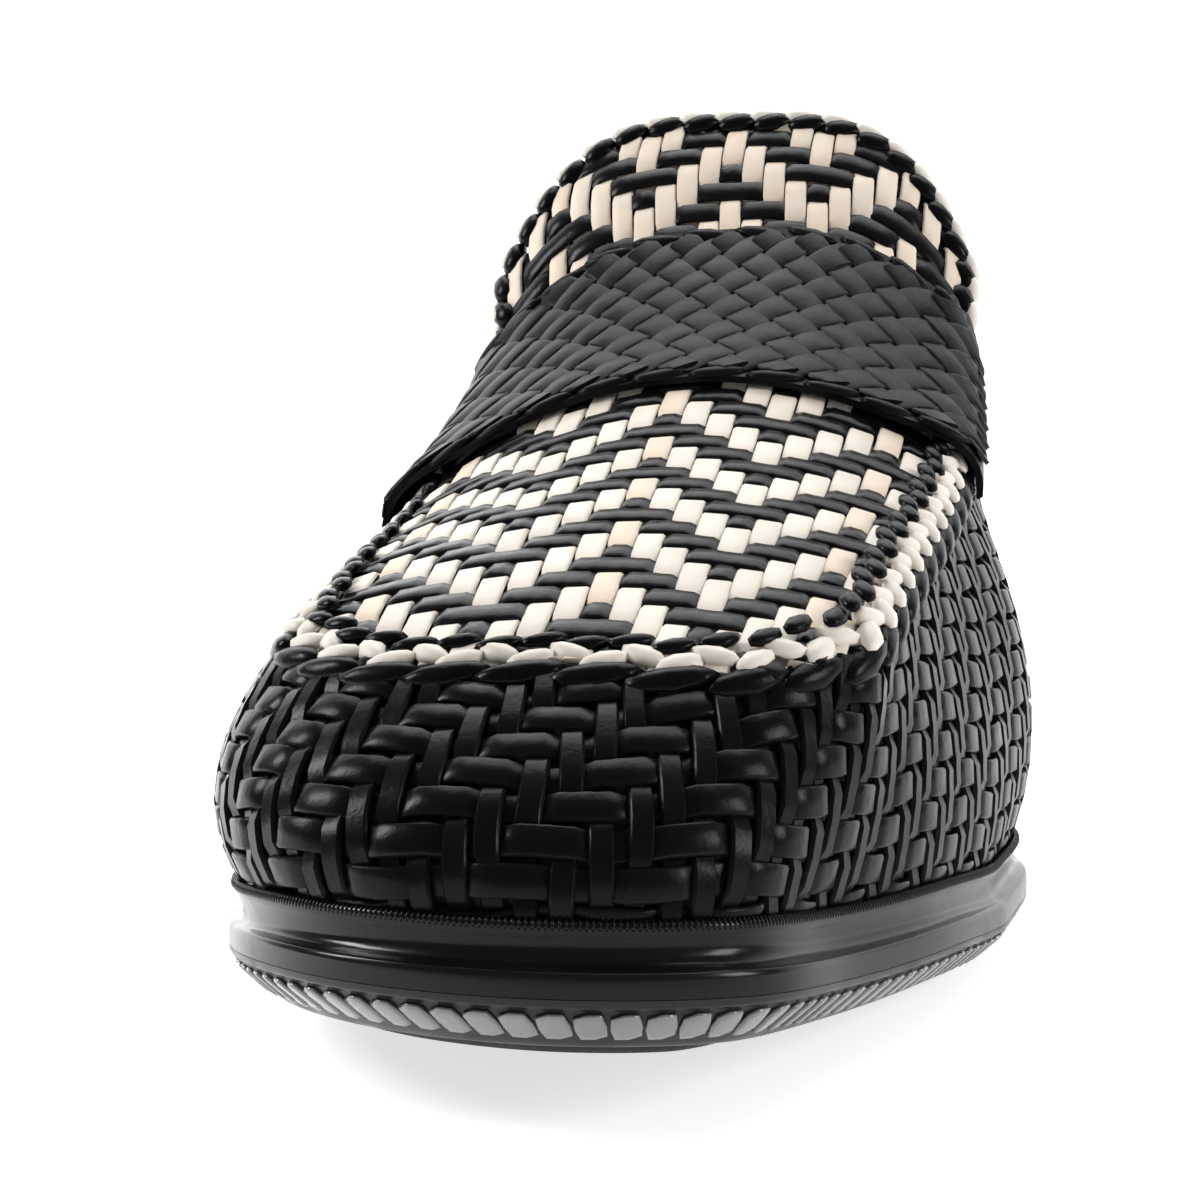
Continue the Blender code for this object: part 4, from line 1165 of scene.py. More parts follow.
def finish_named(name):
    """A finish by its name, made once and shared by its pieces."""
    if name in bpy.data.materials:
        return bpy.data.materials[name]
    c = bpy.context.scene.loafer_colours
    worn = (*c.black_worn, 1)
    warm = (*c.ivory_warm, 1)
    makers = {
        "black_strip_leather": lambda: leather(name, c.black, worn, BLACK_HIDE, strips=True),
        "black_braid_leather": lambda: leather(name, c.black, worn, BLACK_HIDE),
        "ivory_strip_leather": lambda: leather(
            name, c.ivory, shade(c.ivory, IVORY_WORN), IVORY_HIDE, strips=True, warm=warm),
        "ivory_braid_leather": lambda: leather(name, c.ivory, warm, IVORY_BRAID_HIDE),
        "plaited_strap": lambda: leather(name, c.strap, worn, STRAP_HIDE, strips=True),
        "folded_strap_edge": lambda: leather(name, c.strap, worn, STRAP_HIDE),
        "lining_leather": lambda: leather(name, c.lining, shade(c.lining, LINING_WORN), LINING_HIDE),
        "insole_calf": lambda: leather(name, c.insole, shade(c.insole, INSOLE_WORN), INSOLE_HIDE),
        "waxed_welt": lambda: polished_edge(name, c.welt, WELT_BURNISH),
        "sole_leather": lambda: polished_edge(name, c.sole, SOLE_BURNISH),
        # Ribs: the sole's colour made pale grey as a painted reflection of the floor
        "ribbed_edge": lambda: polished_edge(name, shade(c.sole, RIB_PAINTED_REFLECTION), RIB_BURNISH),
        "stippled_rubber": lambda: rubber(name, c.tread, TREAD_ROUGHNESS, TREAD_STIPPLE),
        "nail_steel": lambda: metal(name, c.steel, STEEL_ROUGHNESS),
    }
    return makers[name]()


FORMS = {}


def forms():
    """Wall, apron and saddle surfaces, made once."""
    if not FORMS:
        s = sizes()
        FORMS["wall"] = Wall(s.front_columns, s.rear_columns)
        FORMS["apron"] = Apron()
        FORMS["saddle"] = Saddle(FORMS["wall"])
        FORMS["dice"] = np.random.default_rng(SEED)
    return FORMS["wall"], FORMS["apron"], FORMS["saddle"], FORMS["dice"]


# Pieces

class LOAFER_OT_lining(bpy.types.Operator):
    """Thin leather shell behind the plaiting, which gives the wall its thickness"""

    bl_idname = "loafer.lining"
    bl_label = "Lining"

    OUTER = -0.75 * MM
    ROWS = 10
    APRON_ACROSS = 33
    APRON_ALONG = 61

    def execute(self, context):
        wall, apron, _, _ = forms()
        u = np.arange(wall.columns)
        height = wall.height(u)
        inner, outer = [], []
        for f in np.linspace(0, 1, self.ROWS + 1):
            point, normal = wall.at(u, height * f)
            outer.append(point + normal * self.OUTER)
            inner.append(point - normal * WALL_THICKNESS)
        points, faces = sweep(np.array(outer + inner[::-1]), ends=False)
        m, n = 2 * (self.ROWS + 1), wall.columns
        index = np.arange(m * n).reshape(m, n)
        for k in range(m):
            a, b = index[k], index[(k + 1) % m]
            faces.append([a[-1], a[0], b[0], b[-1]])
        show(mesh_object("wall_lining", points, faces), "lining_leather", ["upper"])
        across = np.linspace(-1, 1, self.APRON_ACROSS)
        lines = []
        for f in np.linspace(0, 1, self.APRON_ALONG):
            from_heel = apron_front(across) * (1 - f) + tongue_end(across) * f
            lines.append(apron.at(across, apron.along(from_heel)))
        point = np.array([line[0] for line in lines])
        normal = np.array([line[1] for line in lines])
        points, faces = two_skins(point + normal * self.OUTER, point - normal * WALL_THICKNESS)
        show(mesh_object("apron_lining", points, faces), "lining_leather", ["upper"])
        return {"FINISHED"}


class LOAFER_OT_wall(bpy.types.Operator):
    """Black plaited wall: upright strips and strips round the shoe in a two-over-two twill"""

    bl_idname = "loafer.wall"
    bl_label = "Plaited wall"

    WAVER = 0.07
    WAVES = 0.9
    LOOK_EVERY = 0.25
    ROOM_ABOVE = 0.3

    def execute(self, context):
        s = sizes()
        wall, _, _, dice = forms()
        rows = int(wall.heights.max() / s.wall_row) + 2
        thick = s.strip_thick / 2
        uprights = Strips()
        for c in range(wall.columns):
            over = [(c + r) % TWILL < TWILL // 2 for r in range(rows)]
            at, lift = weave_lift(over, rows)
            top = (wall.height(c + 0.5) - s.wall_start) / s.wall_row
            at, lift = cut_run(at, lift, 0.0, top)
            v = s.wall_start + at * s.wall_row
            waver = self.WAVER * np.sin(at * self.WAVES + dice.random() * math.tau)
            u = c + 0.5 + waver
            path, normal = wall.at(u, v)
            side = np.linalg.norm(wall.at(u + 0.5, v)[0] - wall.at(u - 0.5, v)[0], axis=1)
            wide = np.minimum(side, s.wall_row) / 2 * s.upright_fill
            uprights.add(path, normal, s.weave_level + s.weave_swing * lift, wide, thick, dice.random())
        show(uprights.build("wall_uprights"), "black_strip_leather", ["upper"])
        around = Strips()
        fine = np.arange(0, wall.columns + self.LOOK_EVERY / 2, self.LOOK_EVERY)
        for r in range(rows):
            v = s.wall_start + (r + 0.5) * s.wall_row
            free = wall.height(fine) > v + self.ROOM_ABOVE * s.wall_row
            over = [(c + r) % TWILL >= TWILL // 2 for c in range(wall.columns)]
            at, lift = weave_lift(over, wall.columns)
            for start, end in open_runs(fine, free):
                places, raised = cut_run(at, lift, start, end)
                waver = self.WAVER * s.wall_row * np.sin(places * self.WAVES + dice.random() * math.tau)
                path, normal = wall.at(places, v + waver)
                around.add(path, normal, s.weave_level + s.weave_swing * raised,
                           s.wall_row / 2 * s.round_fill, thick, dice.random())
        show(around.build("wall_rounds"), "black_strip_leather", ["upper"])
        return {"FINISHED"}


class LOAFER_OT_apron(bpy.types.Operator):
    """Apron and tongue: ivory strips lengthwise and black strips across in zigzag twill"""

    bl_idname = "loafer.apron"
    bl_label = "Zigzag apron"

    REPEAT = 8
    PHASE = 1
    ROWS_BEFORE = 2
    EDGE = 0.5 * MM
    IVORY_RISE = 0.05 * MM
    BLACK_RISE = 0.05 * MM
    SKEW = 0.09
    SKEW_FROM = 170 * MM
    SKEW_TO = 240 * MM
    PEAK_WARM = 0.75
    TONGUE_WARM = 0.5
    OWN_WARM = 0.25
    WARM_FROM = 175 * MM
    WARM_OVER = 30 * MM
    LEAST_REACH = 0.3

    def ivory_over(self, c, r):
        """Whether a column's ivory strip lies over a row's black one."""
        turn = c % self.REPEAT
        return (min(turn, self.REPEAT - turn) + r + self.PHASE) % TWILL < TWILL // 2

    def bent(self, a, from_heel):
        """Share across at which a column lies: the columns lean to the medial side at the toe."""
        lean = np.clip((from_heel - self.SKEW_FROM) / (self.SKEW_TO - self.SKEW_FROM), 0, 1)
        return a + self.SKEW * lean * (1 - a ** 2)

    @staticmethod
    def reach(from_heel):
        """How far across the rounded ends of apron and tongue leave room for a row."""
        if from_heel > APRON_FRONT - APRON_CORNER:
            return (max(APRON_FRONT - from_heel, 0) / APRON_CORNER) ** (1 / APRON_CORNER_POWER)
        if from_heel < TONGUE_TIP + TONGUE_ROUND:
            return (max(from_heel - TONGUE_TIP, 0) / TONGUE_ROUND) ** (1 / APRON_CORNER_POWER)
        return 1.0

    def execute(self, context):
        s = sizes()
        _, apron, _, dice = forms()
        half = s.apron_columns // 2
        rows = int((apron.length - s.apron_start) / s.apron_row) + 2
        thick = s.strip_thick / 2
        pitch = 2 / s.apron_columns
        ivory = Strips()
        for c in range(-half, half + 1):
            a = c * pitch
            first = (apron.along(apron_front(a)) + self.EDGE - s.apron_start) / s.apron_row
            last = (apron.along(tongue_end(a)) - self.EDGE - s.apron_start) / s.apron_row
            over = [self.ivory_over(c, r) for r in range(-self.ROWS_BEFORE, rows)]
            at, lift = weave_lift(over, len(over))
            at, lift = cut_run(at - self.ROWS_BEFORE, lift, first, last)
            l = s.apron_start + at * s.apron_row
            from_heel = apron.place(l)
            path, normal = apron.at(self.bent(a, from_heel), l)
            wide = instep(from_heel, "half_width") * pitch / 2 * s.ivory_fill
            level = s.weave_level + self.IVORY_RISE
            peak = self.PEAK_WARM if c % self.REPEAT == 0 else 0.0
            near_tongue = step_up((self.WARM_FROM - from_heel) / self.WARM_OVER)
            warm = np.maximum(peak, self.TONGUE_WARM * near_tongue) + self.OWN_WARM * dice.random()
            ivory.add(path, normal, level + s.weave_swing * lift, wide, thick, warm)
        show(ivory.build("apron_ivory"), "ivory_strip_leather", ["upper"])
        black = Strips()
        middle = s.apron_columns / 2
        for r in range(-1, rows):
            l = s.apron_start + (r + 0.5) * s.apron_row
            from_heel = apron.place(l)
            reach = self.reach(from_heel)
            if reach < self.LEAST_REACH or l < 0 or l > apron.length:
                continue
            over = [not self.ivory_over(c, r) for c in range(-half, half + 1)]
            at, lift = weave_lift(over, s.apron_columns)
            at, lift = cut_run(at, lift, middle - reach * middle, middle + reach * middle)
            path, normal = apron.at(self.bent((at - middle) * pitch, from_heel), np.full(len(at), l))
            black.add(path, normal, s.weave_level + self.BLACK_RISE + s.weave_swing * lift,
                      s.apron_row / 2 * s.cross_fill, thick, dice.random())
        show(black.build("apron_black"), "black_strip_leather", ["upper"])
        return {"FINISHED"}


class LOAFER_OT_braids(bpy.types.Operator):
    """Braids along the apron's rim, the tongue and the collar, set out by Geometry Nodes"""

    bl_idname = "loafer.braids"
    bl_label = "Braided edges"

    # Lumps of each braid: pitch, length, width and height in mm, slant in degrees and sway in mm
    RIM_OUTER = (7.4, 9.6, 3.7, 2.3, 13, 0.0)
    RIM_IVORY = (3.6, 5.4, 3.0, 1.9, 28, 0.7)
    RIM_INNER = (4.4, 5.0, 2.6, 1.5, 24, 0.4)
    TONGUE_BLACK = (5.4, 6.4, 3.9, 3.0, 24, 0.0)
    TONGUE_IVORY = (5.4, 6.0, 2.2, 2.4, 20, 0.0)
    COLLAR_OUTER = (5.6, 7.2, 3.5, 2.5, 18, 0.0)
    COLLAR_INNER = (5.6, 6.6, 3.2, 2.0, 18, 0.0)
    LEAF = (1.0, 1.45, 0.9)
    BEAD = (0.8, 0.9, 0.85)
    SHOE_CORE = (0.0, -40 * MM, 40 * MM)
    SAMPLES = 6
    SHORT_OF_END = 0.001
    # Where the rows lie, from the edge that they follow
    OUTER_DOWN = 1.3 * MM
    OUTER_OUT = 0.5 * MM
    IVORY_UP = 0.5 * MM
    IVORY_IN = 1.5 * MM
    INNER_UP = 0.55 * MM
    INNER_IN = 4.0 * MM
    TONGUE_UP = 0.5 * MM
    BEHIND_OUT = 1.2 * MM
    BEHIND_UP = 0.9 * MM
    COLLAR_DOWN = 0.4 * MM
    COLLAR_OUT = 0.4 * MM
    COLLAR_IN = 1.2 * MM

    def braid(self, name, path, stand, lump, shape, finish, slot, shift=0.0, every=1, first=0):
        """One row of lumps along a path, begun a share of a pitch late; every keeps only some of them."""
        pitch, length, width, height, slant, sway = lump
        at = run_length(path)
        count = int((at[-1] - shift * pitch * MM) / (pitch * MM)) + 1
        even = shift * pitch * MM + np.arange(count) * pitch * MM
        path = np.column_stack([np.interp(even, at, path[:, k]) for k in range(3)])
        stand = unit(np.column_stack([np.interp(even, at, stand[:, k]) for k in range(3)]))
        row = lumps(name, path, stand, finish, Count=count, Length=length * MM, Width=width * MM,
                    Height=height * MM, Shape=shape, Slant=math.radians(slant), Sway=sway * MM,
                    Every=every, First=first)
        show(row, finish, ["upper"])

    def rim(self):
        """Three rows where the wall meets the apron."""
        wall, apron, _, _ = forms()
        s = sizes()
        u = np.linspace(0, s.front_columns, self.SAMPLES * s.front_columns)
        height = wall.height(u)
        top, wall_normal = wall.at(u, height)
        spots = rim_across()
        at = run_length(apron_point(*spots.T))
        even = np.linspace(0, at[-1], len(u))
        a, from_heel = (np.interp(even, at, spots[:, k]) for k in (0, 1))
        apron_normal = apron.at(a, apron.along(from_heel))[1]
        stand = unit(wall_normal + apron_normal)
        inwards = unit(np.cross(np.gradient(top, axis=0), stand))
        if ((np.array(self.SHOE_CORE) - top) * inwards).sum() < 0:
            inwards = -inwards
        low, low_normal = wall.at(u, height - self.OUTER_DOWN)
        self.braid("rim_outer_braid", low + low_normal * self.OUTER_OUT, unit(low_normal + stand),
                   self.RIM_OUTER, self.LEAF, "black_braid_leather", "woven_leather")
        crest = top + stand * self.IVORY_UP + inwards * self.IVORY_IN
        lean = unit(stand + apron_normal)
        other = self.RIM_IVORY[:4] + (-self.RIM_IVORY[4], self.RIM_IVORY[5])
        rows = (("rim_ivory_braid_a", self.RIM_IVORY), ("rim_ivory_braid_b", other))
        for first, (name, lump) in enumerate(rows):
            self.braid(name, crest, lean, lump, self.LEAF, "ivory_braid_leather", "ivory_leather",
                       every=2, first=first)
        inside = top + inwards * self.INNER_IN + apron_normal * self.INNER_UP
        self.braid("rim_inner_braid", inside, apron_normal, self.RIM_INNER, self.LEAF,
                   "black_braid_leather", "woven_leather")

    def tongue(self):
        """Black lumps round the tongue's edge with ivory ones behind them."""
        apron = forms()[1]
        across = np.linspace(1, -1, FINE)
        side = np.linspace(JOIN_FROM_HEEL, TONGUE_TIP + TONGUE_ROUND, FINE)[:-1]
        a = np.concatenate([np.ones(FINE - 1), across, -np.ones(FINE - 1)])
        from_heel = np.concatenate([side, tongue_end(across), side[::-1]])
        edge, normal = apron.at(a, apron.along(from_heel))
        away = unit(np.cross(np.gradient(edge, axis=0), normal))
        if (away * (edge - edge.mean(axis=0))).sum() < 0:
            away = -away
        self.braid("tongue_black_braid", edge + normal * self.TONGUE_UP, normal, self.TONGUE_BLACK,
                   self.BEAD, "black_braid_leather", "woven_leather")
        behind = edge + away * self.BEHIND_OUT + normal * self.BEHIND_UP
        self.braid("tongue_ivory_braid", behind, unit(normal + away), self.TONGUE_IVORY, self.LEAF,
                   "ivory_braid_leather", "ivory_leather", 0.5)

    def collar(self):
        """Two rows round the opening, outside and inside."""
        wall = forms()[0]
        s = sizes()
        u = np.linspace(s.front_columns, wall.columns, self.SAMPLES * s.rear_columns)
        height = wall.height(np.minimum(u, wall.columns - self.SHORT_OF_END))
        edge, normal = wall.at(u, height - self.COLLAR_DOWN)
        self.braid("collar_outer_braid", edge + normal * self.COLLAR_OUT, normal, self.COLLAR_OUTER,
                   self.LEAF, "black_braid_leather", "woven_leather")
        self.braid("collar_inner_braid", edge - normal * self.COLLAR_IN, -normal, self.COLLAR_INNER,
                   self.LEAF, "black_braid_leather", "woven_leather")

    def execute(self, context):
        self.rim()
        self.tongue()
        self.collar()
        return {"FINISHED"}


class LOAFER_OT_strap(bpy.types.Operator):
    """Saddle strap plaited on the bias, with a folded edge"""

    bl_idname = "loafer.strap"
    bl_label = "Saddle strap"

    BODY_THICK = 0.9 * MM
    BACKING_ACROSS = 81
    BACKING_ALONG = 17
    EDGE = 1.2 * MM
    LEVEL = 1.25 * MM
    SWING = 0.24 * MM
    STRIP_THICK = 0.55 * MM
    FOLD_PITCH = 6.6 * MM
    # Length, width and height of a lump of the folded edge
    FOLD = (7.8 * MM, 2.7 * MM, 1.5 * MM)
    FOLD_SHAPE = (1.0, 1.3, 0.8)
    FOLD_SLANT = 12
    FOLD_IN = 1.0 * MM
    END_DROP = 1.7 * MM
    END_SPREAD = 9 * MM
    END_IN = 2.4 * MM
    LEAST_SAMPLES = 3

    def level(self, saddle, p):
        """Height of the strap's underside, let down at both ends."""
        left = np.minimum(p + saddle.lateral, saddle.medial - p)
        return saddle.clear(p) - self.END_DROP * np.clip(1 - left / self.END_SPREAD, 0, 1) ** 2

    def backing(self, saddle):
        """Thin leather under the plait."""
        p = np.linspace(-saddle.lateral, saddle.medial, self.BACKING_ACROSS)
        q = np.linspace(0, STRAP_WIDTH, self.BACKING_ALONG)
        grid_p, grid_q = np.meshgrid(p, q, indexing="ij")
        point, normal = saddle.at(grid_p.ravel(), grid_q.ravel())
        clear = self.level(saddle, grid_p.ravel())[:, None]
        shape = (len(p), len(q), 3)
        low = point + normal * clear
        high = low + normal * self.BODY_THICK
        points, faces = two_skins(low.reshape(shape), high.reshape(shape))
        return mesh_object("strap_backing", points, faces, sharp=EDGE_SHARP)

    def plait(self, saddle, dice):
        """Strips on the two diagonals, each over one and under one."""
        pitch = sizes().strap_strip
        strips = Strips()
        low_p, high_p = -saddle.lateral + self.END_IN, saddle.medial - self.END_IN
        low_q, high_q = self.EDGE, STRAP_WIDTH - self.EDGE
        reach = int((high_p - low_p + high_q - low_q) / pitch) + 2
        for family in (0, 1):
            for i in range(-reach, reach + 1):
                over = [(i + j) % 2 == family for j in range(-reach, reach)]
                at, lift = weave_lift(over, len(over))
                across = np.full(len(at), (i + 0.5) * pitch)
                along = (at - reach) * pitch
                half = pitch / 2 * sizes().strap_fill
                lines = []
                for shift in (0.0, -half, half):
                    a, b = (across + shift, along) if family else (along, across + shift)
                    lines.append(((a + b) / math.sqrt(2), STRAP_WIDTH / 2 + (a - b) / math.sqrt(2)))
                p, q = lines[0]
                kept = (p > low_p) & (p < high_p) & (q > low_q) & (q < high_q)
                if kept.sum() < self.LEAST_SAMPLES:
                    continue
                raised = []
                for p, q in lines:
                    p = np.clip(p[kept], low_p, high_p)
                    point, normal = saddle.at(p, np.clip(q[kept], low_q, high_q))
                    rise = self.level(saddle, p) + self.LEVEL + self.SWING * lift[kept]
                    raised.append((point, normal, rise))
                edges = [point + normal * rise[:, None] for point, normal, rise in raised[1:]]
                strips.add(*raised[0], half, self.STRIP_THICK / 2, dice.random(), edges)
        return strips.build("strap_strips")

    def execute(self, context):
        _, _, saddle, dice = forms()
        show(self.backing(saddle), "folded_strap_edge", ["saddle_strap"])
        show(self.plait(saddle, dice), "plaited_strap", ["saddle_strap"])
        length = self.FOLD[0]
        for name, at_q, slant in (("strap_front_edge", self.FOLD_IN, self.FOLD_SLANT),
                                  ("strap_back_edge", STRAP_WIDTH - self.FOLD_IN, -self.FOLD_SLANT)):
            p = np.linspace(length - saddle.lateral, saddle.medial - length, FINE)
            point, normal = saddle.at(p, np.full(len(p), at_q))
            path = point + normal * (self.level(saddle, p) + self.BODY_THICK)[:, None]
            row = lump_row(name, path, normal, "folded_strap_edge", self.FOLD_PITCH, self.FOLD,
                           Shape=self.FOLD_SHAPE, Slant=math.radians(slant))
            show(row, "folded_strap_edge", ["saddle_strap"])
        return {"FINISHED"}


class LOAFER_OT_welt(bpy.types.Operator):
    """Waxed storm welt with a hollowed top and toothed lip, and the rand round the heel seat"""

    bl_idname = "loafer.welt"
    bl_label = "Welt and rand"

    PITCH = 2.2 * MM
    SEAM = 0.02 * MM
    LIP_EXTRA = 1.5 * MM
    LIP_CLEAR = 0.2 * MM
    LIP_LEAST = 0.9 * MM
    LIP_FACE = 0.6 * MM
    LIP_EDGE = 0.3 * MM
    LIP_FOOT = 0.7 * MM
    NOSE = 0.3 * MM
    NOSE_HEIGHT = 2.4 * MM
    COVE_IN = 1.3 * MM
    COVE_DOWN = 2.6 * MM
    COVE_FLOOR = 2.2 * MM
    COVE_WALL = 0.45 * MM
    COVE_STEPS = 8
    # Rounded top of the lip: out from its back and down from its peak, mm
    LIP_ROUND = ((-0.05, 0.2), (0.15, 0.0), (0.45, 0.15))
    # Outer faces of welt and rand: inset from the sole's edge and height over the sole, mm
    NOSE_SECTION = ((0.12, 2.25), (0.02, 1.8), (0.0, 1.0), (0.0, 0.03), (0.3, 0.0))
    RAND_SECTION = ((1.3, 3.4), (0.8, 3.15), (0.42, 2.6), (0.3, 1.7), (0.4, 0.7), (0.75, 0.0))
    # Length, width and height of a tooth
    TOOTH = (0.42 * MM, 1.3 * MM, 0.7 * MM)
    TOOTH_SUNK = 0.3 * MM
    TOOTH_LEAN = 0.5

    def lip(self, wall, angles, level):
        """Inset of the lip's back at a level, kept off the strips of the wall behind it."""
        room = wall.reach_out(angles, level - UPPER_BASE) + WEAVE_RELIEF + self.LIP_CLEAR
        return np.maximum(margin(angles) - room, self.LIP_LEAST)

    def cove(self, lip, room, base, peak):
        """Hollow between the lip's face and the welt's rounded nose, as a curve on four controls."""
        crest = np.maximum(lip - self.LIP_FACE, self.LIP_EDGE)
        controls = (
            (crest, peak - self.LIP_FOOT), (np.minimum(crest + self.COVE_IN, room), peak - self.COVE_DOWN),
            (self.COVE_FLOOR, base + self.NOSE_HEIGHT), (self.NOSE, base + self.NOSE_HEIGHT),
        )
        rows = []
        for f in np.linspace(0, 1, self.COVE_STEPS):
            rows.append(tuple(sum(w * c[k] for w, c in zip(cubic(f), controls)) for k in (0, 1)))
        return rows

    def body(self, name, angles, section, node):
        """A section carried along the sole's edge."""
        lines = []
        for inset, height in section:
            lines.append(sole_points(angles, np.broadcast_to(inset, len(angles)), height))
        points, faces = sweep(np.array(lines))
        show(mesh_object(name, points, faces, sharp=WELT_SHARP), "waxed_welt", [node])

    def execute(self, context):
        s = sizes()
        wall = forms()[0]
        base = OUTSOLE_THICKNESS + self.SEAM
        top = base + WELT_HEIGHT
        peak = top + WELT_LIP_HEIGHT + self.LIP_EXTRA
        start = share_angle(WELT_END_SHARE)
        angles = open_round(even_angles(self.PITCH, start, math.pi))
        wide = margin(angles)
        lip = self.lip(wall, angles, peak)
        under = wide + WELT_UNDER_WALL
        inner = [(under, base), (under, top), (wide - WELT_LIP_CLEAR, top)]
        inner += [(lip - out * MM, peak - down * MM) for out, down in self.LIP_ROUND]
        nose = [(inset * MM, base + height * MM) for inset, height in self.NOSE_SECTION]
        room = self.lip(wall, angles, peak - self.COVE_DOWN) - self.COVE_WALL
        self.body("storm_welt", angles, inner + self.cove(lip, room, base, peak) + nose, "welt")

        fine = open_round(even_angles(s.tooth_pitch, start, math.pi))
        path = sole_points(fine, self.lip(wall, fine, peak) - self.TOOTH_SUNK, peak - self.TOOTH_SUNK)
        out = np.column_stack([outward(fine), np.full(len(fine), self.TOOTH_LEAN)])
        teeth = lump_row("welt_teeth", path, unit(out), "waxed_welt", s.tooth_pitch, self.TOOTH,
                         **SMALL_LUMP)
        show(teeth, "waxed_welt", ["welt"])

        end = share_angle(WELT_END_SHARE - JOINT_GAP / SOLE_LENGTH)
        side = even_angles(self.PITCH, 0, end)
        angles = np.concatenate([-side[:0:-1], side])
        under = margin(angles) + WELT_UNDER_WALL
        section = [(under, base), (under, top)]
        section += [(inset * MM, base + height * MM) for inset, height in self.RAND_SECTION]
        self.body("seat_rand", angles, section, "heel_rand")
        return {"FINISHED"}


class LOAFER_OT_sole(bpy.types.Operator):
    """Outsole with a ribbed edge, stitch channel and stippled forefoot tread"""

    bl_idname = "loafer.sole"
    bl_label = "Outsole and tread"

    PITCH = 2.4 * MM
    CHANNEL_DEPTH = 0.6 * MM
    CHANNEL_FADE = 0.03
    CHANNEL_BEFORE = 0.05
    CHANNEL_MIDDLE = 7.4 * MM
    # Insets of the channel's inner lip, floor and outer lip, mm
    CHANNEL = (8.2, 7.8, 7.0, 6.6)
    # Bevel, groove and rounded edge of the outsole: inset and height, mm
    EDGE_SECTION = (
        (4.7, 0.2), (4.2, 0.6), (2.4, 2.1), (0.75, 3.8), (0.6, 4.05), (0.25, 4.2), (0.06, 4.45),
        (0.0, 4.8), (0.0, 4.98),
    )
    TOP_INSET = 0.3 * MM
    STITCH_PITCH = 4.2 * MM
    # Length, width and height of a stitch
    STITCH = (3.4 * MM, 0.8 * MM, 0.7 * MM)
    STITCH_HEIGHT = 0.45 * MM
    RIB_INSET = 2.15 * MM
    RIB_HEIGHT = 2.3 * MM
    RIB_DIP = -1.1
    RIB_WIDTH = 4.3 * MM
    RIB_THICK = 0.6 * MM
    RIB_FILL = 0.95
    RIB_SHAPE = (0.45, 0.55, 0.5)
    RIB_SLANT = 14
    RIB_SAMPLES = 3
    # Edge of the tread and the step down to its field: inset and depth
    TREAD_SECTION = (
        (0.0, 0.0), (0.0, 0.65 * MM), (0.35 * MM, 1.1 * MM), (TREAD_BEVEL, TREAD_THICKNESS),
        (3.4 * MM, TREAD_THICKNESS), (3.8 * MM, 1.02 * MM),
    )
    TAPER_STEPS = 9
    POINT_SHRINK = 1 / 3

    def body(self):
        """The outsole: flat underside, bevel, groove over the ribs and rounded upper edge."""
        angles = both_sides(even_angles(self.PITCH))
        at = (1 - np.cos(fold(angles))) / 2
        cut = self.CHANNEL_DEPTH * step_up((at - RIB_START_SHARE + self.CHANNEL_BEFORE) / self.CHANNEL_FADE)
        section = [(inset * MM, height) for inset, height in zip(self.CHANNEL, (0.0, cut, cut, 0.0))]
        section.append((BEVEL_WIDTH, 0.0))
        section += [(inset * MM, height * MM) for inset, height in self.EDGE_SECTION]
        section.append((self.TOP_INSET, OUTSOLE_THICKNESS))
        lines = []
        for inset, height in section:
            lines.append(sole_points(angles, inset, np.broadcast_to(height, len(angles))))
        points, faces = rounds(np.array(lines))
        body = mesh_object("ribbed_outsole", points, faces, sharp=EDGE_SHARP)
        show(body, "sole_leather", ["outsole"])

    def edge(self):
        """Ribs under the edge and stitches in the channel."""
        pitch = sizes().rib_pitch
        fine = open_round(even_angles(pitch / self.RIB_SAMPLES, share_angle(RIB_START_SHARE), math.pi))
        path = sole_points(fine, self.RIB_INSET, self.RIB_HEIGHT)
        down = np.column_stack([outward(fine), np.full(len(fine), self.RIB_DIP)])
        rib = (pitch * self.RIB_FILL, self.RIB_WIDTH, self.RIB_THICK)
        ribs = lump_row("outsole_ribs", path, unit(down), "ribbed_edge", pitch, rib,
                        Shape=self.RIB_SHAPE, Slant=math.radians(self.RIB_SLANT))
        show(ribs, "ribbed_edge", ["outsole"])
        path = sole_points(fine, self.CHANNEL_MIDDLE, self.STITCH_HEIGHT)
        down = np.tile((0.0, 0.0, -1.0), (len(fine), 1))
        thread = lump_row("channel_stitches", path, down, "sole_leather", self.STITCH_PITCH, self.STITCH,
                          **SMALL_LUMP)
        show(thread, "sole_leather", ["outsole"])

    def tread(self):
        """Rubber under the forefoot, pointed at the back."""
        angles = open_round(even_angles(self.PITCH, share_angle(TREAD_REAR_CORNER), math.pi))
        taper = np.linspace(0, 1, self.TAPER_STEPS)[:-1, None]
        rings = []
        for inset, depth in self.TREAD_SECTION:
            rim = sole_points(angles, TREAD_INSET + inset, -JOINT_GAP - depth)
            middle = (rim[0, 0] + rim[-1, 0]) / 2
            rear = (0.5 - TREAD_REAR_POINT) * SOLE_LENGTH - inset
            ends = []
            for corner, half in ((rim[0], 1), (rim[-1], -1)):
                point = np.array([middle + half * (TREAD_POINT_HALF - inset * self.POINT_SHRINK), rear, 0])
                line = point * (1 - taper) + corner * taper
                line[:, 2] = underside(line[:, 1]) - JOINT_GAP - depth
                ends.append(line)
            rings.append(np.concatenate([ends[0], rim, ends[1][::-1]]))
        points, faces = rounds(np.array(rings), open_ends=True)
        tread = mesh_object("stippled_tread", points, faces, sharp=EDGE_SHARP)
        show(tread, "stippled_rubber", ["forefoot_tread"])

    def execute(self, context):
        self.body()
        self.edge()
        self.tread()
        return {"FINISHED"}


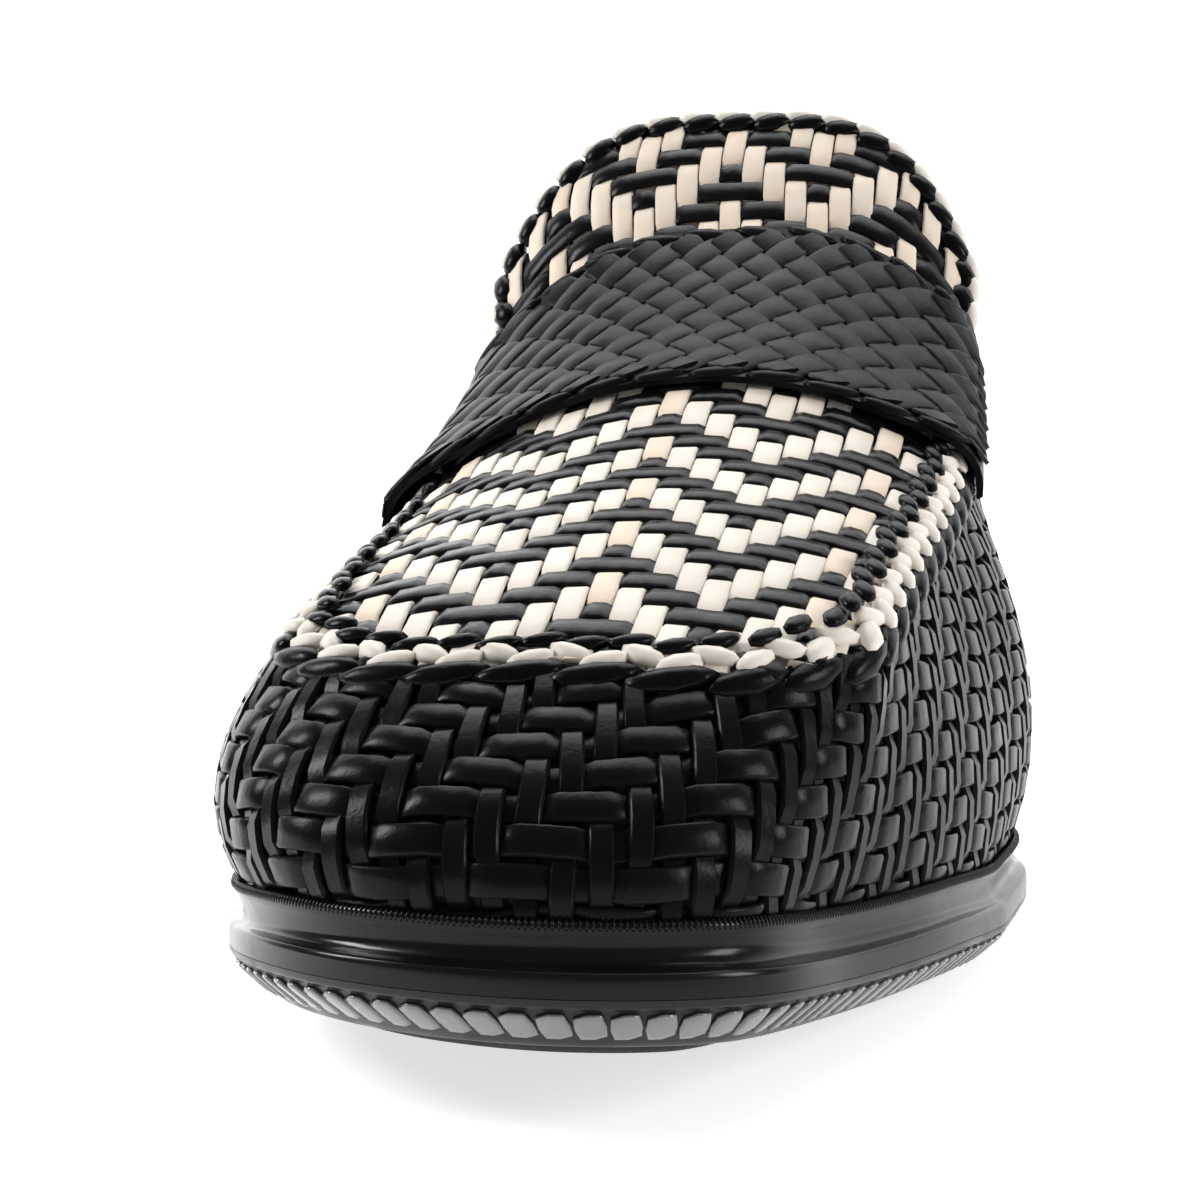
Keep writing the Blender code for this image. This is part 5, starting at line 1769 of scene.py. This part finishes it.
class LOAFER_OT_heel(bpy.types.Operator):
    """Stacked heel with its layers, the two-piece top lift and its nails"""

    bl_idname = "loafer.heel"
    bl_label = "Stacked heel"

    STEPS = 96
    BREAST_STEPS = 30
    LAYERS = 4
    GROOVE = 0.22 * MM
    LAYER_ROUND = 0.08
    CUT_REACH = 0.5
    LIFT_BEVEL = 0.35 * MM
    BEVEL_SEGMENTS = 2
    NAIL_PATH = 0.1 * MM
    # Width and height of a nail's head
    NAIL = (2.4 * MM, 0.5 * MM)
    NAIL_IN = 0.15 * MM
    # Nails: side, distance from the heel's end and from the middle, mm
    NAILS = ((1, 72, 27.0), (1, 59, 28.0), (1, 47, 26.5), (-1, 58, 27.5), (-1, 45, 26.5), (-1, 34, 23.5))

    def plan(self, inset):
        """Outline of the heel with its hollow breast."""
        rear = np.linspace(-share_angle(BREAST_LATERAL), share_angle(BREAST_MEDIAL), self.STEPS + 1)
        edge = outline(rear) - outward(rear) * inset
        f = np.linspace(0, 1, self.BREAST_STEPS + 1)[1:-1, None]
        breast = edge[-1] * (1 - f) + edge[0] * f
        breast[:, 1] += (BREAST_HOLLOW * 4 * f * (1 - f))[:, 0]
        return np.concatenate([edge, breast]) - (SIDE_SHIFT, 0)

    def stack(self):
        """Heel block of glued layers with a fine groove between them."""
        rows = []
        for layer in range(self.LAYERS):
            for f in (0.0, self.LAYER_ROUND, 1 - self.LAYER_ROUND, 1.0):
                if f == 0.0 and layer:
                    continue
                rows.append(((layer + f) / self.LAYERS, self.GROOVE if f in (0.0, 1.0) else 0.0))
        lines = []
        for f, groove in rows:
            plan = self.plan(HEEL_INSET + HEEL_TAPER * (1 - f) + groove)
            low, high = LIFT_HEIGHT + JOINT_GAP, underside(plan[:, 1]) - JOINT_GAP
            lines.append(np.column_stack([plan, low + (high - low) * f]))
        lines = np.array(lines)
        m, n = lines.shape[:2]
        points, faces = rounds(lines, bottom=False, top=False)
        faces.append(list(range(n)))
        faces.append(list(range((m - 1) * n, m * n)))
        heel = mesh_object("stacked_heel", points, faces, sharp=HEEL_SHARP)
        show(heel, "sole_leather", ["heel_block"])

    def lifts(self, context):
        """Top lift and wearing tip, cut from one outline along a stepped joint."""
        joint = SOLE_LENGTH / 2 - LIFT_JOINT_FROM_HEEL
        reach = self.CUT_REACH
        for name, node, rear in (("top_lift", "lift_front", False), ("wearing_tip", "lift_tip", True)):
            near = joint + (JOINT_GAP / 2 if rear else -JOINT_GAP / 2)
            step = LIFT_STEP_AT - (JOINT_GAP / 2 if rear else -JOINT_GAP / 2)
            far = reach if rear else -reach
            cut = [(-reach, near), (step, near), (step, near + LIFT_STEP), (reach, near + LIFT_STEP),
                   (reach, far), (-reach, far)]
            plan = self.plan(HEEL_INSET + HEEL_TAPER)
            lift = self.slab(name, plan, 0, LIFT_HEIGHT)
            cutter = self.slab("cutter", cut, -reach, reach)
            keep = lift.modifiers.new("joint", "BOOLEAN")
            keep.operation = "INTERSECT"
            keep.solver = "EXACT"
            keep.object = cutter
            bevel = lift.modifiers.new("edge", "BEVEL")
            bevel.width = self.LIFT_BEVEL
            bevel.segments = self.BEVEL_SEGMENTS
            bevel.limit_method = "ANGLE"
            graph = context.evaluated_depsgraph_get()
            made = bpy.data.meshes.new_from_object(lift.evaluated_get(graph))
            lift.modifiers.clear()
            lift.data = made
            bpy.data.objects.remove(cutter, do_unlink=True)
            made.shade_smooth()
            made.set_sharp_from_angle(angle=math.radians(HEEL_SHARP))
            finish = "stippled_rubber" if rear else "sole_leather"
            show(lift, finish, [node])

    def nails(self):
        """Heads of the nails that hold the lift."""
        spots = [(side * off * MM, SOLE_LENGTH / 2 - at * MM, self.NAIL_IN) for side, at, off in self.NAILS]
        wide, high = self.NAIL
        for k, spot in enumerate(np.array(spots)):
            path = np.array([spot - (self.NAIL_PATH, 0, 0), spot + (self.NAIL_PATH, 0, 0)])
            nail = lumps("lift_nail_%d" % (k + 1), path, [(0, 0, -1)] * 2, "nail_steel", Count=1,
                         Length=wide, Width=wide, Height=high, Segments=12, Rings=6)
            show(nail, "nail_steel")

    def execute(self, context):
        self.stack()
        self.lifts(context)
        self.nails()
        return {"FINISHED"}

    @staticmethod
    def slab(name, plan, low, high):
        """Flat outline raised from one height to another."""
        n = len(plan)
        points = [(x, y, z) for z in (low, high) for x, y in plan]
        faces = [list(range(n)), list(range(n, 2 * n))]
        faces += [[k, (k + 1) % n, n + (k + 1) % n, n + k] for k in range(n)]
        return mesh_object(name, points, faces)


class LOAFER_OT_insole(bpy.types.Operator):
    """Leather insole with a softened edge"""

    bl_idname = "loafer.insole"
    bl_label = "Insole"

    PITCH = 4.0 * MM
    # Softened edge: inset from the board's edge and depth under its top, mm
    EDGE = ((0.0, 0.8), (0.3, 0.2), (1.0, 0.0), (4.0, 0.0))

    def execute(self, context):
        angles = both_sides(even_angles(self.PITCH))
        wide = margin(angles)
        core = wide + WELT_UNDER_WALL + JOINT_GAP
        board = wide + WALL_THICKNESS + INSOLE_CLEAR
        top = UPPER_BASE + INSOLE_THICKNESS
        section = [(core, OUTSOLE_THICKNESS + JOINT_GAP), (core, UPPER_BASE), (board, UPPER_BASE)]
        section += [(board + inset * MM, top - depth * MM) for inset, depth in self.EDGE]
        lines = np.array([sole_points(angles, inset, height) for inset, height in section])
        points, faces = rounds(lines)
        insole = mesh_object("leather_insole", points, faces, sharp=EDGE_SHARP)
        show(insole, "insole_calf", ["insole"])
        return {"FINISHED"}


class LOAFER_OT_stage(bpy.types.Operator):
    """Pale floor, the card that bounces light on the shoe, soft lamps and the camera"""

    bl_idname = "loafer.stage"
    bl_label = "Studio"

    EYE = (64.0 * MM, -357.1 * MM, 64.4 * MM)
    AIM = (-9.0 * MM, -27.0 * MM, 40.7 * MM)
    ROLL = 0.0074
    SENSOR = 36.0
    NEAR_CLIP = 0.01
    # Lamps: name, place, width and length in metres, watts
    LAMPS = (
        ("key_left", (-1.1, -0.1, 0.75), (0.3, 0.5), 10.5),
        ("top", (0.0, 0.6, 1.3), (1.3, 0.8), 11.5),
        ("right", (1.1, -0.1, 0.5), (0.35, 0.5), 6.5),
        ("back", (0.0, 1.3, 0.5), (0.7, 0.35), 7.0),
    )
    LAMP_AIM = (0.0, 0.0, 0.04)
    WORLD = 0.18
    # Floor that the camera sees
    NEAR_GLOW = 0.72
    FAR_GLOW = 1.05
    GLOW_REACH = (0.35, 1.2)
    FLOOR_RADIUS = 3.0
    FLOOR_BEND = 0.6
    FLOOR_RISE = 2.2
    FLOOR_STEPS = 72
    BEND_STEPS = 12
    # Card under the floor that lights the shoe and shows in its polish
    CARD_BRIGHT = 1.1
    CARD_DIM = 0.2
    CARD_FRONT = (-0.4, -0.16)
    CARD_SIDE = (-0.15, 0.1)
    CARD_HALF = 1.6
    CARD_LEVEL = -1.0 * MM
    CARD_ENDS = (-0.9, 0.9)
    CARD_BEND = 0.4
    CARD_RISE = 1.4

    def floor(self):
        """Round paper floor that bends up far from the shoe; only the camera sees it."""
        bend = self.FLOOR_BEND
        curve = [(self.FLOOR_RADIUS + bend * math.sin(t), bend - bend * math.cos(t))
                 for t in np.linspace(0, math.pi / 2, self.BEND_STEPS)]
        curve.append((self.FLOOR_RADIUS + bend, self.FLOOR_RISE))
        turn = np.arange(self.FLOOR_STEPS) * math.tau / self.FLOOR_STEPS
        lines = [[(r * math.cos(t), r * math.sin(t), z) for t in turn] for r, z in curve]
        points, faces = rounds(np.array(lines), top=False)
        floor = mesh_object("studio_floor", points, faces)
        tone = bpy.context.scene.loafer_colours.floor
        finish = floor_paper("studio_paper", tone, self.NEAR_GLOW, self.FAR_GLOW, self.GLOW_REACH)
        floor.data.materials.append(finish)
        floor.visible_diffuse = False
        floor.visible_glossy = False
        floor.visible_shadow = False
        floor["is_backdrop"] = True

    def card(self):
        """Bounce card with a bend up behind the shoe; it gives light, and the camera doesn't see it."""
        bend, (front, back), level = self.CARD_BEND, self.CARD_ENDS, self.CARD_LEVEL
        curve = [(front, level)]
        for t in np.linspace(0, math.pi / 2, self.BEND_STEPS):
            curve.append((back - bend + bend * math.sin(t), level + bend - bend * math.cos(t)))
        curve.append((back, self.CARD_RISE))
        points = [(x, y, z) for x in (-self.CARD_HALF, self.CARD_HALF) for y, z in curve]
        n = len(curve)
        faces = [[k, n + k, n + k + 1, k + 1] for k in range(n - 1)]
        card = mesh_object("bounce_card", points, faces, turn=False)
        tone = bpy.context.scene.loafer_colours.floor
        finish = card_paper("card_paper", tone, self.CARD_BRIGHT, self.CARD_DIM, self.CARD_FRONT,
                            self.CARD_SIDE)
        card.data.materials.append(finish)
        card.visible_camera = False
        card.visible_shadow = False
        card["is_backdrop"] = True

    def lamps(self, context):
        """Large soft lamps round the shoe, with the camera's side left dark."""
        for name, place, extent, power in self.LAMPS:
            light = bpy.data.lights.new(name, "AREA")
            light.shape = "RECTANGLE"
            light.size, light.size_y = extent
            light.energy = power
            lamp = bpy.data.objects.new(name, light)
            lamp.location = place
            lamp.visible_camera = False
            aim = Vector(self.LAMP_AIM) - Vector(place)
            lamp.rotation_euler = aim.to_track_quat("-Z", "Y").to_euler()
            context.scene.collection.objects.link(lamp)
        world = bpy.data.worlds.new("studio")
        context.scene.world = world
        world.use_nodes = True
        sky = world.node_tree.nodes["Background"]
        sky.inputs["Color"].default_value = (1, 1, 1, 1)
        sky.inputs["Strength"].default_value = self.WORLD
        context.scene.view_settings.view_transform = "Standard"

    def camera(self, context):
        """Camera low in front of the toe, a little to the medial side."""
        lens = bpy.data.cameras.new("camera")
        lens.lens = sizes().lens / MM
        lens.sensor_width = self.SENSOR
        lens.clip_start = self.NEAR_CLIP
        camera = bpy.data.objects.new("camera", lens)
        ahead = (Vector(self.AIM) - Vector(self.EYE)).normalized()
        right = ahead.cross(Vector((0, 0, 1))).normalized()
        up = right.cross(ahead)
        tilted = right * math.cos(self.ROLL) + up * math.sin(self.ROLL)
        up = up * math.cos(self.ROLL) - right * math.sin(self.ROLL)
        turn = Matrix((tilted, up, -ahead)).transposed()
        camera.matrix_world = Matrix.Translation(Vector(self.EYE)) @ turn.to_4x4()
        context.scene.collection.objects.link(camera)
        context.scene.camera = camera

    def execute(self, context):
        self.floor()
        self.card()
        self.lamps(context)
        self.camera(context)
        return {"FINISHED"}


class LOAFER_PT_panel(bpy.types.Panel):
    """Pieces of the loafer"""

    bl_idname = "LOAFER_PT_panel"
    bl_label = "Woven loafer"
    bl_space_type = "VIEW_3D"
    bl_region_type = "UI"
    bl_category = "Loafer"

    def draw(self, context):
        for group in (context.scene.loafer_sizes, context.scene.loafer_colours):
            box = self.layout.box()
            for key in group.bl_rna.properties.keys():
                if key not in ("rna_type", "name"):
                    box.prop(group, key)
        for piece in PIECES:
            self.layout.operator(piece.bl_idname)


PIECES = (
    LOAFER_OT_lining, LOAFER_OT_wall, LOAFER_OT_apron, LOAFER_OT_braids, LOAFER_OT_strap, LOAFER_OT_welt,
    LOAFER_OT_sole, LOAFER_OT_heel, LOAFER_OT_insole, LOAFER_OT_stage,
)
CLASSES = (LOAFER_PG_sizes, LOAFER_PG_colours) + PIECES + (LOAFER_PT_panel,)


def register():
    """Add the classes and settings to Blender."""
    for cls in CLASSES:
        bpy.utils.register_class(cls)
    bpy.types.Scene.loafer_sizes = PointerProperty(type=LOAFER_PG_sizes)
    bpy.types.Scene.loafer_colours = PointerProperty(type=LOAFER_PG_colours)


def unregister():
    """Take the classes and settings out of Blender."""
    del bpy.types.Scene.loafer_colours
    del bpy.types.Scene.loafer_sizes
    for cls in reversed(CLASSES):
        bpy.utils.unregister_class(cls)


def main():
    """Make every piece and the studio."""
    register()
    for piece in PIECES:
        group, name = piece.bl_idname.split(".")
        getattr(getattr(bpy.ops, group), name)()
    boxes = [[[float(v) for v in corner] for corner in box] for box in (CAD_BOX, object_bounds())]


if __name__ == "__main__":
    main()
